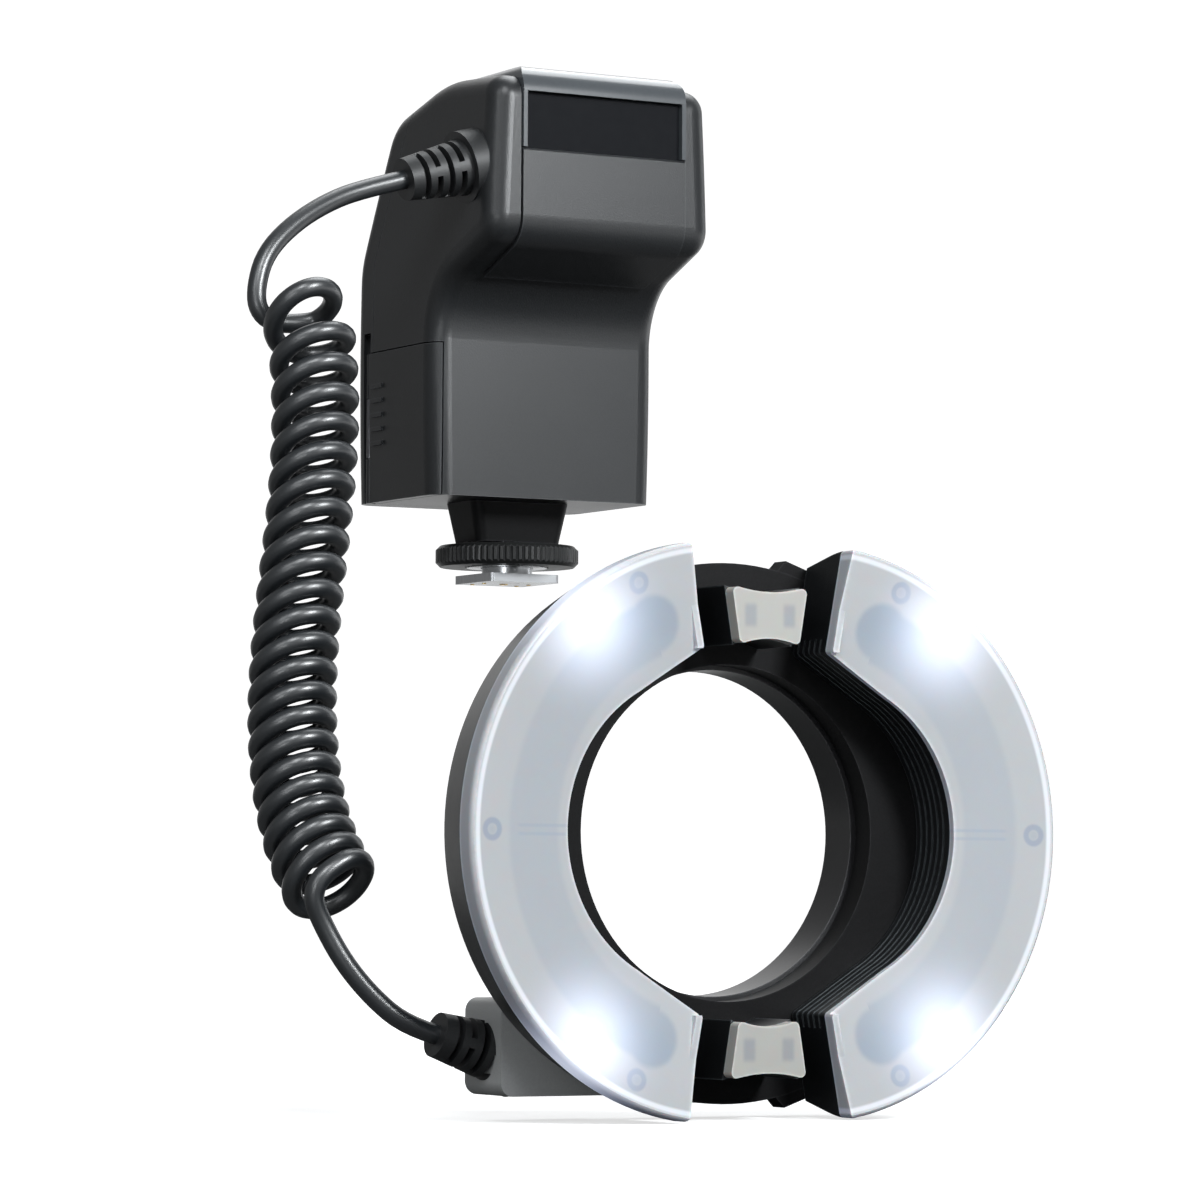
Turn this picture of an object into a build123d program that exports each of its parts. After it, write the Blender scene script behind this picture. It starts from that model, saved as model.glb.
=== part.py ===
"""A macro ring flash: a control unit on a shoe foot, a curly cord, and a ring of two sliding lamp halves.

Millimetres, +Z up. The lamps shine towards -Y. The origin is the centre of the shoe foot's underside.
"""
from build123d import *
import math
import os

# Shared clearances and stock
wall = 2.0
seam = 0.2
running_gap = 0.05
slide_gap = 0.3
overrun = 5.0
least_round = 0.4
screw_radius = 1.0
screw_head_radius = 1.5
screw_head_height = 1.2

# Shoe foot, clamp and lock wheel
foot_side = 18.6
foot_thickness = 2.0
foot_corner = 1.0
stem_radius = 6.0
rail_space = 1.7
clamp_radius = 9.6
clamp_thickness = 0.9
wheel_radius = 17.0
wheel_thickness = 5.0
wheel_bevel = 1.0
wheel_rim = 2.2
wheel_bottom = 3.9
knurl_count = 72
knurl_depth = 0.45
knurl_cut_share = 1.4
knurl_side = knurl_depth * knurl_cut_share
lock_pin_radius = 1.2
lock_pin_offset = 3.2
contact_radius = 1.0
contact_spacing = 6.0
contact_count = 4
contact_proud = 0.2

# Pedestal under the control unit
pedestal_width = 26.0
pedestal_depth = 16.0
pedestal_taper = 1.9
pedestal_corner = 2.5
pedestal_bottom = 9.6

# Control unit casing, seen from its side: y and z of each corner
unit_bottom = 19.0
unit_front = -18.8
unit_rear = 22.5
unit_top = 116.0
head_front = -46.0
head_bottom = 77.0
neck_height = 66.5
slope_height = 76.0
slope_top_y = 7.0
slope_top_z = 109.5
crown_y = -18.0
brow_z = 114.0
rear_radius = 20.0
slope_radius = 12.0
crown_radius = 40.0
brow_radius = 5.5
chin_radius = 7.0
neck_radius = 16.0
edge_radius = 5.0
half_width_low = 28.6
half_width_mid = 30.0
half_width_top = 26.6
width_mid_height = 58.0
bow_reach = 10.0
split_depth = 10.5

# Front insert of the head: fascia, signal window and top cover
visor_half_width = 21.5
visor_proud = 0.8
visor_rear = -28.0
cover_rear = -10.0
cover_line = 110.4
window_line = 97.2
insert_rim = 1.0
window_half_width = visor_half_width - insert_rim
cover_rise = 1.6
cover_corner = 4.0
ledge_bevel = 0.6
window_recess = 1.4
plate_width = 37.0
plate_depth = 6.4
plate_thickness = 0.5

# Battery side
door_top = 54.5
door_front = -27.2
door_rear = 15.0
knuckle_radius = 0.95
knuckle_inset = 1.0
swing_reach = 1.45
door_travel = 3.0
leaf_thickness = 0.8
leaf_height = 14.0
leaf_reach = 22.0
pin_radius = 0.5
grip_count = 5
grip_pitch = 3.4
grip_length = 5.5
grip_width = 0.5
grip_height = 46.5
cell_radius = 7.15
cell_length = 49.5
cell_gap = 0.5
cell_shift = 1.4
cell_spacing = 15.3
contact_plate = 0.6
magazine_left = -25.6
magazine_right = 27.0

# Rear controls
dial_rise = 7.5
dial_height = door_top + dial_rise
dial_radius = 9.5
dial_bore = 5.0
dial_proud = 3.2
dial_recess = 1.0
dial_grip_count = 30
dial_grip_depth = 0.35
set_radius = 4.2
set_travel = 0.6
button_offset = 19.0
power_width = 8.0
power_height = 4.6
test_radius = 2.8
button_proud = 1.2
button_depth = 4.0
display_width = 36.0
display_height = 20.0
display_thickness = 1.4
module_thickness = 3.0

# Terminals behind a flap on the right side
flap_bottom = 60.0
flap_top = 78.0
flap_front = -14.0
flap_rear = -1.0
flap_recess = 3.0
block_thickness = 5.0
sync_radius = 3.4
power_radius = 3.0
socket_depth = 3.6

# Inside the control unit
board_front = 2.0
board_thickness = 1.6
board_half_width = 24.0
board_rise = 1.5
board_bottom = door_top + board_rise
board_top = 103.0
post_radius = 2.4
post_inset = 3.2
post_low_x = 10.0
capacitor_radius = 9.0
capacitor_length = 40.0
capacitor_height = 90.0

# Cord and its strain reliefs
cord_diameter = 4.4
relief_radius = 6.6
relief_tip_radius = 4.9
relief_core = 3.2
relief_length = 15.0
relief_slots = 4
slot_share = 0.45
slot_start_share = 0.6
web_width = 2.2
collar_radius = 8.4
collar_length = 5.0
upper_relief_start = (-26.9, -35.0, 94.4)
upper_relief_droop = 15.0
lower_relief_rise = 16.0

# Curly part: its axis sways as it drops, its first turn stands open and its last ones face forward
coil_turns = 22.75
coil_radius = 7.8
coil_top = (-83.0, -47.5, 59.3)
coil_drop = 132.5
coil_forward = 26.5
coil_bend = 11.5
bend_share = 0.09
coil_sway = 6.6
sway_start_share = 0.1
sway_length_share = 0.72
pitch_ratio = 0.62
coil_tilt = 29.0
end_tilt = 27.0
end_cant = 16.0
open_rise = 2.9
open_shift = -2.8
open_turn = 0.68
open_spread = 0.33
entry_drop = 1.4
entry_spread = 0.45
first_turn = 0.35
end_share = 0.6
upper_exit_share = 2.0
lower_exit_share = 1.75
lead_bend_share = 0.45
turn_step_share = 0.001
parallel_share = 1e-9
gap_samples = 2400
gap_skip_share = 3.0

# Ring: depths in y, places in x and z from the ring's own centre
ring_z = -60.0
ring_radius = 63.0
ring_front = -122.0
dish_depth = 3.3
dish_tip_share = 0.01
diffuser_depth = 5.0
diffuser_wall = 1.8
rim_round = 1.4
housing_back = -103.5
housing_narrowing = 3.4
housing_back_radius = ring_radius - housing_narrowing
housing_wall = 1.8
slide_out = 11.0
slide_travel = 8.5
end_outer_x = 9.5
end_corner_inset = 0.7
end_outer_z = ring_radius - end_corner_inset
end_inner_x = 5.3
end_inner_z = 39.5
bore_radius = 38.0
bore_turn_x = 20.5
bore_turn_z = 29.8
corner_round = 1.2
lip_thickness = 1.6
lip_inner_depth = 5.0
lip_outer_depth = 1.8
baffle_count = 5
baffle_depth = 0.5
baffle_width = 0.5
baffle_reach = 4.9375
chamber_bore_gap = 4.4
chamber_rim_gap = 10.0
chamber_inner = bore_radius + chamber_bore_gap
chamber_outer = ring_radius - chamber_rim_gap
chamber_angle = 69.0
chamber_wall = 0.8
chamber_front = -117.2
tube_radius = 1.5
tube_angle = 60.0
led_angle = 54.0
led_radius = 2.6
led_height = 2.2
screw_inset = 5.5
boss_circle = ring_radius - screw_inset
boss_angle = 67.2
boss_radius = 1.9
base_inset = 3.6
base_radius = ring_radius - base_inset
base_bore = 37.0
base_front = -103.0
base_back = -91.5
base_wall = 2.0
base_floor_share = 2.5
cover_thickness = 1.8
rail_z = 46.5
rail_width = 5.0
rail_thickness = 2.2
rail_inner = 19.5
rail_outer = 33.0
cap_inner = 12.0
cap_outer = 23.4
cap_height = 2.0
cap_depth = 5.0
block_half_width = 9.6
block_foot_half_width = 7.5
block_bore_gap = 2.6
block_rim_gap = 9.5
block_low = bore_radius + block_bore_gap
block_high = ring_radius - block_rim_gap
block_front = -117.2
focus_thickness = 3.4
focus_scoop = 1.4
lamp_width = 3.6
lamp_height = 5.5
focus_wall = 1.2
focus_face = 1.0
lamp_offset = 4.9
boss_side_inset = 7.0
boss_low_inset = 6.0
boss_length = 32.0
boss_height = 21.0
boss_left = boss_side_inset - ring_radius
boss_right = boss_left + boss_length
boss_low = boss_low_inset - ring_radius
boss_high = boss_low + boss_height
relief_side_inset = 7.9
relief_low_inset = 7.7
relief_centre_y = -94.0
lower_relief_start = (boss_left + relief_side_inset, relief_centre_y, ring_z + boss_low + relief_low_inset)
boss_front = -102.6
boss_back = -86.0
boss_corner = 3.0
release_width = 14.0
release_thickness = 5.0
release_proud = 2.6
release_length = 7.0
release_travel = 2.0
adapter_radius = 38.5
adapter_neck = 38.0
adapter_flange = 44.0
adapter_bore = 36.0
adapter_thread = 4.0
adapter_flange_thickness = 2.4
cover_screw_inset = 7.4
cover_screw_circle = base_radius - cover_screw_inset
cover_screw_count = 6

UP = (Align.CENTER, Align.CENTER, Align.MIN)
os.makedirs("parts", exist_ok=True)


def save(name, shape):
    """Writes one named piece."""
    export_step(shape, f"parts/{name}.step")


def block(x0, x1, y0, y1, z0, z1):
    """A box between two opposite corners."""
    return Pos((x0 + x1) / 2, (y0 + y1) / 2, (z0 + z1) / 2) * Box(x1 - x0, y1 - y0, z1 - z0)


def bar(radius, start, end):
    """A round bar from one point to another."""
    run = Vector(*end) - Vector(*start)
    return Plane(Vector(*start), z_dir=run) * Cylinder(radius, run.length, align=UP)


def taper(radius, end_radius, start, end):
    """A round bar whose radius changes from start to end."""
    run = Vector(*end) - Vector(*start)
    return Plane(Vector(*start), z_dir=run) * Cone(radius, end_radius, run.length, align=UP)


def group(shapes):
    """Separate like solids kept as one piece."""
    return Compound(children=[solid for shape in shapes for solid in shape.solids()])


# Casing of the control unit
def side_profile(inset):
    """The casing's outline seen from the side, moved in by inset, with every corner rounded."""
    low = unit_bottom - bow_reach
    corners = [
        Vector(unit_front, low),
        Vector(unit_front, neck_height),
        Vector(head_front, head_bottom),
        Vector(head_front, brow_z),
        Vector(crown_y, unit_top),
        Vector(slope_top_y, slope_top_z),
        Vector(unit_rear, slope_height),
        Vector(unit_rear, low),
    ]
    radii = [neck_radius, chin_radius, brow_radius, crown_radius, slope_radius, rear_radius]
    count = len(corners)
    runs = [(corners[(index + 1) % count] - corners[index]).normalized() for index in range(count)]
    inward = [Vector(run.Y, -run.X) for run in runs]
    moved, rounds = [], []
    for index, corner in enumerate(corners):
        before, after = inward[index - 1], inward[index]
        moved.append(corner + (before + after) * (inset / (1 + before.dot(after))))
        convex = runs[index - 1].cross(runs[index]).Z < 0
        if 0 < index < count - 1:
            radius = radii[index - 1] + (-inset if convex else inset)
            rounds.append(max(radius, least_round))
    outline = FilletPolyline(*moved, radius=rounds)
    return make_face(outline + Line(moved[-1], moved[0]))


def front_profile(inset):
    """The casing's outline seen from the front: two sides with a gentle bow."""
    low, high = unit_bottom - 2 * bow_reach, unit_top + 2 * bow_reach
    right = [
        (half_width_low - inset, low),
        (half_width_mid - inset, width_mid_height),
        (half_width_top - inset, high),
    ]
    left = [(-x, z) for x, z in reversed(right)]
    return make_face(
        ThreePointArc(*right)
        + Line(right[2], left[0])
        + ThreePointArc(*left)
        + Line(left[2], right[0])
    )


def casing(inset):
    """The casing's outer form moved in by inset, with rounded sides and a flat bottom."""
    form = extrude(Plane.YZ * side_profile(inset), amount=half_width_mid + overrun, both=True)
    form &= extrude(Plane.XZ * front_profile(inset), amount=head_bottom, both=True)
    for index in (0, -1):
        face = form.faces().sort_by(Axis.X)[index]
        form = fillet([edge for edge in face.edges() if edge.center().Z > unit_bottom], edge_radius - inset)
    reach = half_width_mid + overrun
    return form & block(-reach, reach, -reach * 2, reach, unit_bottom + inset, unit_top + overrun)


def behind_split(gap):
    """Everything behind the seam between front and rear shells."""
    y_low, y_high = unit_rear - split_depth + gap, slope_top_y - split_depth + gap
    far = unit_rear + overrun
    slope = (slope_top_y - unit_rear) / (slope_top_z - slope_height)
    top = unit_top + overrun
    outline = Polyline(
        (y_low, door_top + seam),
        (y_low, slope_height),
        (y_high + slope * (top - slope_top_z), top),
        (far, top),
        (far, unit_bottom - overrun),
        (door_rear + gap, unit_bottom - overrun),
        (door_rear + gap, door_top + seam),
        close=True,
    )
    return extrude(Plane.YZ * make_face(outline), amount=half_width_mid + overrun, both=True)


reach_x = half_width_mid + overrun
outer = casing(0)
inner = casing(wall)
shell = outer - inner
proud = casing(-visor_proud)
proud_skin = proud - casing(wall - visor_proud)
fit = casing(wall + slide_gap)


def door_space(gap):
    """The part of the casing that the battery door takes, with a gap round it."""
    return block(-reach_x, door_front + gap, unit_front * 2, door_rear + gap, 0, door_top + gap)


def cover_outline(gap):
    """The top cover's outline from the front: upright sides, round corners and an arched top."""
    half, side_top = visor_half_width + gap, unit_top + visor_proud + gap
    arch = ThreePointArc((-half, side_top), (0, side_top + cover_rise), (half, side_top))
    sides = Polyline((half, side_top), (half, window_line), (-half, window_line), (-half, side_top))
    face = make_face(arch + sides)
    return fillet(face.vertices().group_by(Axis.Y)[-1], cover_corner + gap)


def cover_block(gap):
    """The space that the top cover takes, with a gap round it."""
    space = extrude(Plane.XZ * cover_outline(gap), amount=head_bottom, both=True)
    return space & block(
        -reach_x, reach_x, head_front - overrun, cover_rear + gap, window_line, unit_top * 2
    )


visor_space = block(
    -visor_half_width - seam,
    visor_half_width + seam,
    head_front - overrun,
    visor_rear + seam,
    neck_height - overrun,
    window_line,
) + cover_block(seam)
side_x = half_width_mid
knuckle_x = -side_x + knuckle_inset
flap_space = block(0, reach_x, flap_front, flap_rear, flap_bottom, flap_top)

front_shell = shell - behind_split(0) - door_space(slide_gap) - visor_space
rear_shell = shell & behind_split(seam)
rear_shell -= door_space(slide_gap)

# Dial, set button and push buttons sit in holes of the rear shell
rear_y = unit_rear
dial_pocket = bar(
    dial_radius + slide_gap,
    (0, rear_y - dial_recess, dial_height),
    (0, rear_y + overrun, dial_height),
)
encoder_hole = bar(
    dial_bore + slide_gap, (0, rear_y - wall - overrun, dial_height), (0, rear_y, dial_height)
)
power_hole = block(
    -button_offset - power_width / 2 - slide_gap,
    -button_offset + power_width / 2 + slide_gap,
    rear_y - wall - overrun,
    rear_y + overrun,
    dial_height - power_height / 2 - slide_gap,
    dial_height + power_height / 2 + slide_gap,
)
test_hole = bar(
    test_radius + slide_gap,
    (button_offset, rear_y - wall - overrun, dial_height),
    (button_offset, rear_y + overrun, dial_height),
)
rear_shell -= dial_pocket + encoder_hole + power_hole + test_hole

# Slanted back: the display looks out through it
slant = Vector(0, slope_top_y - rear_y, slope_top_z - slope_height).normalized()
slant_mid = Vector(0, (rear_y + slope_top_y) / 2, (slope_height + slope_top_z) / 2)
slant_plane = Plane(slant_mid, x_dir=(-1, 0, 0), z_dir=Vector(-1, 0, 0).cross(slant))
display_opening = slant_plane * Box(
    display_width + 2 * seam, display_height + 2 * seam, 2 * (wall + overrun)
)
display_window = slant_plane * (
    Pos(0, 0, -display_thickness) * Box(display_width, display_height, display_thickness, align=UP)
)
display_module = slant_plane * (
    Pos(0, 0, -display_thickness - module_thickness)
    * Box(display_width, display_height, module_thickness, align=UP)
)

# Board, its posts and the capacitor
board_back = board_front + board_thickness
main_board = block(
    -board_half_width, board_half_width, board_front, board_back, board_bottom, board_top
)
post_places = [
    (side * place, height)
    for side in (-1, 1)
    for place, height in (
        (post_low_x, board_bottom + post_inset),
        (board_half_width - post_inset, board_top - post_inset),
    )
]
within = casing(wall / 2)
for post_x, post_z in post_places:
    post = bar(post_radius, (post_x, board_back, post_z), (post_x, rear_y + overrun, post_z))
    rear_shell += post & within
rear_shell -= display_opening
main_board -= display_module
capacitor_y = board_front - capacitor_radius
main_capacitor = bar(
    capacitor_radius,
    (-capacitor_length / 2, capacitor_y, capacitor_height),
    (capacitor_length / 2, capacitor_y, capacitor_height),
)

# Front insert
cover_space = cover_block(0) & block(
    -reach_x, reach_x, head_front - overrun, cover_rear, window_line + seam, unit_top * 2
)
raised = Pos(0, 0, cover_rise) * proud
window_space = block(
    -window_half_width, window_half_width, head_front - overrun, visor_rear, window_line + seam,
    cover_line,
)
fascia_space = block(
    -visor_half_width, visor_half_width, head_front - overrun, visor_rear, neck_height - overrun,
    window_line,
)
top_cover = (raised & cover_space) - casing(wall - visor_proud) - window_space
head_fascia = proud_skin & fascia_space
ledge = head_fascia.edges().filter_by(Axis.X).group_by(Axis.Z)[-1].sort_by(Axis.Y)[0]
head_fascia = chamfer(ledge, ledge_bevel)
window_skin = casing(window_recess - visor_proud) - casing(wall + window_recess - visor_proud)
signal_window = window_skin & block(
    -window_half_width + seam, window_half_width - seam, head_front - overrun, visor_rear,
    window_line + seam, cover_line - seam,
)
chin_run = Vector(0, unit_front - head_front, neck_height - head_bottom).normalized()
plate_middle = Vector(0, (visor_rear + head_front) / 2, 0)
plate_share = (plate_middle.Y - head_front) / (unit_front - head_front)
plate_z = head_bottom + (neck_height - head_bottom) * plate_share
chin_down = Vector(1, 0, 0).cross(chin_run)
chin_plane = Plane(
    Vector(0, plate_middle.Y, plate_z) - chin_down * visor_proud * (-1), x_dir=(1, 0, 0), z_dir=chin_down
)
rating_plate = chin_plane * (
    Pos(0, 0, -plate_thickness) * Box(plate_width, plate_depth, plate_thickness * 2, align=UP)
)
rating_plate &= proud
head_fascia -= rating_plate

# Battery door: it slides down on its leaf, and the leaf swings on the rear pin
door_skin = casing(0) - casing(wall)
door = door_skin & door_space(0)
leaf_low = (unit_bottom + door_top - leaf_height) / 2
leaf_high = leaf_low + leaf_height
pin_low, pin_high = leaf_low - slide_gap - wall, leaf_high + slide_gap + wall


def hinge_bar(radius, low, high):
    """A round bar on the door's hinge line."""
    return bar(radius, (knuckle_x, door_rear, low), (knuckle_x, door_rear, high))


clear_radius = knuckle_radius + slide_gap
swing_radius = math.hypot(knuckle_inset, swing_reach) + slide_gap
door -= hinge_bar(clear_radius, 0, door_top + overrun)
rear_shell -= hinge_bar(swing_radius, 0, door_top + overrun)
root_end = door_rear + swing_radius + wall
for low, high in ((unit_bottom, leaf_low - slide_gap), (leaf_high + slide_gap, door_top)):
    lug = hinge_bar(knuckle_radius, low, high)
    lug += outer & block(knuckle_x, knuckle_x + knuckle_radius, door_rear, root_end, low, high)
    rear_shell += lug
leaf_x = -side_x + wall + slide_gap + knuckle_inset
leaf_plate = block(
    leaf_x, leaf_x + leaf_thickness, door_rear - leaf_reach, door_rear, leaf_low, leaf_high
)
leaf_neck = block(
    knuckle_x, leaf_x + leaf_thickness, door_rear - leaf_thickness, door_rear, leaf_low, leaf_high
)
door -= block(
    -reach_x, leaf_x, door_rear - leaf_thickness - slide_gap, door_rear + slide_gap,
    leaf_low - slide_gap, leaf_high + slide_gap + door_travel,
)
door_hinge_leaf = leaf_plate + leaf_neck + hinge_bar(knuckle_radius, leaf_low, leaf_high)
door_hinge_leaf -= hinge_bar(pin_radius + running_gap, leaf_low, leaf_high)
door_hinge_pin = hinge_bar(pin_radius, pin_low, pin_high)
rear_shell -= door_hinge_pin
grip_y = door_rear - grip_length
for index in range(grip_count):
    grip_z = grip_height - index * grip_pitch
    door += block(
        -side_x - grip_width, -side_x + wall / 2, grip_y - grip_length / 2, grip_y + grip_length / 2,
        grip_z - grip_width, grip_z + grip_width,
    )

# Battery magazine, its cells and contact plates
magazine = fit & block(
    magazine_left, magazine_right, -reach_x, reach_x, unit_bottom, door_top - wall + slide_gap
)
magazine -= behind_split(0) & block(-reach_x, reach_x, door_rear + wall, reach_x * 2, 0, unit_top)
middle_y = (unit_front + door_rear) / 2 + cell_shift
middle_z = (unit_bottom + door_top) / 2
cells, bores, plates = [], [], []
for cell_y in (middle_y - cell_spacing / 2, middle_y + cell_spacing / 2):
    for cell_z in (middle_z - cell_spacing / 2, middle_z + cell_spacing / 2):
        start = magazine_left + contact_plate
        cells.append(bar(cell_radius, (start, cell_y, cell_z), (start + cell_length, cell_y, cell_z)))
        bores.append(
            bar(
                cell_radius + cell_gap / 4,
                (magazine_left - overrun, cell_y, cell_z),
                (start + cell_length + contact_plate, cell_y, cell_z),
            )
        )
        plates.append(
            bar(
                cell_radius / 2,
                (start + cell_length, cell_y, cell_z),
                (start + cell_length + contact_plate, cell_y, cell_z),
            )
        )
for bore in bores:
    magazine -= bore

# Dial, encoder and buttons
encoder_back = rear_y + dial_proud - set_travel * 2
dial_encoder = bar(
    dial_bore, (0, board_back, dial_height), (0, encoder_back, dial_height)
)
set_bore = bar(
    set_radius - set_travel, (0, encoder_back - button_depth, dial_height), (0, encoder_back, dial_height)
)
dial_encoder -= set_bore
select_dial = bar(
    dial_radius,
    (0, rear_y - dial_recess + slide_gap, dial_height),
    (0, rear_y + dial_proud, dial_height),
)
select_dial -= bar(
    dial_bore + running_gap,
    (0, rear_y - overrun, dial_height),
    (0, rear_y + dial_proud + overrun, dial_height),
)
select_dial -= group(
    bar(
        dial_grip_depth,
        (
            dial_radius * math.sin(2 * math.pi * index / dial_grip_count),
            rear_y + slide_gap,
            dial_height + dial_radius * math.cos(2 * math.pi * index / dial_grip_count),
        ),
        (
            dial_radius * math.sin(2 * math.pi * index / dial_grip_count),
            rear_y + dial_proud + overrun,
            dial_height + dial_radius * math.cos(2 * math.pi * index / dial_grip_count),
        ),
    )
    for index in range(dial_grip_count)
)
set_stem = set_radius - set_travel - slide_gap
set_button = bar(
    set_radius,
    (0, encoder_back + set_travel + slide_gap, dial_height),
    (0, rear_y + dial_proud + slide_gap, dial_height),
) + bar(
    set_stem,
    (0, encoder_back - button_depth + set_travel + slide_gap, dial_height),
    (0, encoder_back + set_travel + slide_gap, dial_height),
)
power_button = block(
    -button_offset - power_width / 2,
    -button_offset + power_width / 2,
    rear_y - button_depth,
    rear_y + button_proud,
    dial_height - power_height / 2,
    dial_height + power_height / 2,
)
test_button = bar(
    test_radius,
    (button_offset, rear_y - button_depth, dial_height),
    (button_offset, rear_y + button_proud, dial_height),
)
switch_front = rear_y - button_depth - set_travel - slide_gap
button_switches = group(
    block(
        x - test_radius, x + test_radius, board_back, switch_front, dial_height - test_radius,
        dial_height + test_radius,
    )
    for x in (-button_offset, button_offset)
)

# Terminals on the right side and their flap
terminal_flap = shell & block(
    0, reach_x, flap_front + slide_gap, flap_rear - slide_gap, flap_bottom + slide_gap,
    flap_top - slide_gap,
)
front_shell -= flap_space
block_face = side_x - wall - flap_recess
terminal_block = fit & block(
    block_face - block_thickness, block_face, flap_front - wall, flap_rear + wall, flap_bottom - wall,
    flap_top + wall,
)
pocket_wall = (inner & block(
    block_face, reach_x, flap_front - wall, flap_rear + wall, flap_bottom - wall, flap_top + wall
)) - flap_space
front_shell += pocket_wall
sync_z = flap_top - sync_radius - wall
power_z = flap_bottom + power_radius + wall
socket_y = (flap_front + flap_rear) / 2
sockets = []
for socket_radius, socket_z in ((sync_radius, sync_z), (power_radius, power_z)):
    back = (block_face - socket_depth, socket_y, socket_z)
    face = (block_face + seam, socket_y, socket_z)
    terminal_block -= bar(socket_radius, back, (block_face + overrun, socket_y, socket_z))
    ring = bar(socket_radius, back, face) - bar(socket_radius - wall / 2, back, face)
    sockets.append(ring + bar(wall / 4, back, face) + bar(socket_radius, back, (
        back[0] + contact_plate, socket_y, socket_z)))

# Foot, contacts, lock pin, clamp plate and wheel
half_foot = foot_side / 2
foot_plate = block(-half_foot, half_foot, -half_foot, half_foot, 0, foot_thickness)
foot_plate = fillet(foot_plate.edges().filter_by(Axis.Z), foot_corner)
foot_plate += bar(stem_radius, (0, 0, 0), (0, 0, pedestal_bottom + wall))
pin_bore = bar(
    lock_pin_radius + slide_gap, (0, -lock_pin_offset, -overrun), (0, -lock_pin_offset, pedestal_bottom)
)
foot_plate -= pin_bore
lock_pin = bar(
    lock_pin_radius, (0, -lock_pin_offset, 0), (0, -lock_pin_offset, pedestal_bottom - slide_gap)
)
first_y = lock_pin_offset / 2
contacts = [bar(contact_radius, (0, first_y, -contact_proud), (0, first_y, foot_thickness))]
for index in range(contact_count):
    contact_x = contact_spacing * (1 if index % 2 else -1)
    contact_y = contact_spacing / 2 * (1 if index < 2 else -1) + lock_pin_offset
    contacts.append(
        bar(
            contact_radius / 2,
            (contact_x, contact_y, -contact_proud),
            (contact_x, contact_y, foot_thickness / 2),
        )
    )
for contact in contacts:
    foot_plate -= contact
clamp_bottom = foot_thickness + rail_space
clamp_plate = bar(clamp_radius, (0, 0, clamp_bottom), (0, 0, clamp_bottom + clamp_thickness)) - bar(
    stem_radius + slide_gap, (0, 0, 0), (0, 0, pedestal_bottom)
)
wheel_top = wheel_bottom + wheel_thickness
lock_wheel = bar(wheel_radius, (0, 0, wheel_bottom), (0, 0, wheel_top))
lock_wheel = chamfer(lock_wheel.edges(), wheel_bevel)
lock_wheel -= bar(stem_radius + running_gap, (0, 0, 0), (0, 0, pedestal_bottom))
lock_wheel -= bar(
    clamp_radius + slide_gap, (0, 0, 0), (0, 0, clamp_bottom + clamp_thickness + slide_gap)
)
knurl_cuts = []
for index in range(knurl_count):
    angle = 360 * index / knurl_count
    cut = Rot(0, 0, angle) * (
        Pos(wheel_radius, 0, 0)
        * (Rot(0, 0, 45) * Box(knurl_side, knurl_side, pedestal_bottom * 2))
    )
    knurl_cuts.append(cut)
lock_wheel -= group(knurl_cuts)

# Pedestal between the wheel and the casing
low_width, low_depth = pedestal_width - 2 * pedestal_taper, pedestal_depth - pedestal_taper
foot_pedestal = loft(
    [
        Plane.XY.offset(pedestal_bottom) * RectangleRounded(low_width, low_depth, pedestal_corner),
        Plane.XY.offset(unit_bottom) * RectangleRounded(pedestal_width, pedestal_depth, pedestal_corner),
    ]
)
foot_pedestal -= bar(stem_radius, (0, 0, 0), (0, 0, pedestal_bottom + wall))


# Strain reliefs: a collar, then a slotted boot that narrows to the cord
def strain_relief(start, direction):
    """The collar and the boot along direction, and the point where the cord leaves."""
    at = Vector(*start)
    way = Vector(*direction).normalized()
    collar_end = at + way * collar_length
    tip = collar_end + way * relief_length
    body = bar(collar_radius, tuple(at), tuple(collar_end))
    boot = taper(relief_radius, relief_tip_radius, tuple(collar_end), tuple(tip))
    pitch = relief_length / (relief_slots + 1)
    for index in range(relief_slots):
        cut_start = collar_end + way * (pitch * (index + slot_start_share))
        cut_end = cut_start + way * (pitch * slot_share)
        slot = bar(collar_radius, tuple(cut_start), tuple(cut_end))
        slot -= bar(relief_core, tuple(cut_start), tuple(cut_end))
        plane = Plane((cut_start + cut_end) / 2, x_dir=(0, 1, 0), z_dir=way)
        across = (web_width, collar_radius * 2) if index % 2 else (collar_radius * 2, web_width)
        slot -= plane * Box(across[0], across[1], pitch)
        boot -= slot
    return body + boot, tip, way


droop, rise = math.radians(upper_relief_droop), math.radians(lower_relief_rise)
upper_relief, upper_tip, upper_way = strain_relief(
    upper_relief_start, (-math.cos(droop), 0, -math.sin(droop))
)
front_shell -= upper_relief
lower_relief, lower_tip, lower_way = strain_relief(
    lower_relief_start, (-math.cos(rise), 0, math.sin(rise))
)


# Cord
def curl_point(turn):
    """A point on the curly part, by turns from its top: a helix round a swaying axis."""
    lost = (1 - pitch_ratio) * turn * turn / (2 * coil_turns)
    share = (turn - lost) / (coil_turns * (1 + pitch_ratio) / 2)
    angle = 2 * math.pi * turn
    sway = coil_sway * math.cos(math.pi * (share - sway_start_share) / sway_length_share)
    late = math.exp((share - 1) / bend_share)
    opened = math.exp(-(((turn - open_turn) / open_spread) ** 2))
    entering = math.exp(-((turn / entry_spread) ** 2))
    tilt, cant = math.radians(coil_tilt + end_tilt * late), math.radians(end_cant * late)
    side, depth = -coil_radius * math.cos(angle), coil_radius * math.sin(angle)
    return Vector(
        coil_top[0] + sway + side * math.cos(cant) + open_shift * opened,
        coil_top[1] - coil_forward * share - coil_bend * late + depth * math.cos(tilt),
        coil_top[2]
        - coil_drop * share
        - depth * math.sin(tilt)
        + side * math.sin(cant)
        + open_rise * opened
        - entry_drop * entering,
    )


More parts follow.
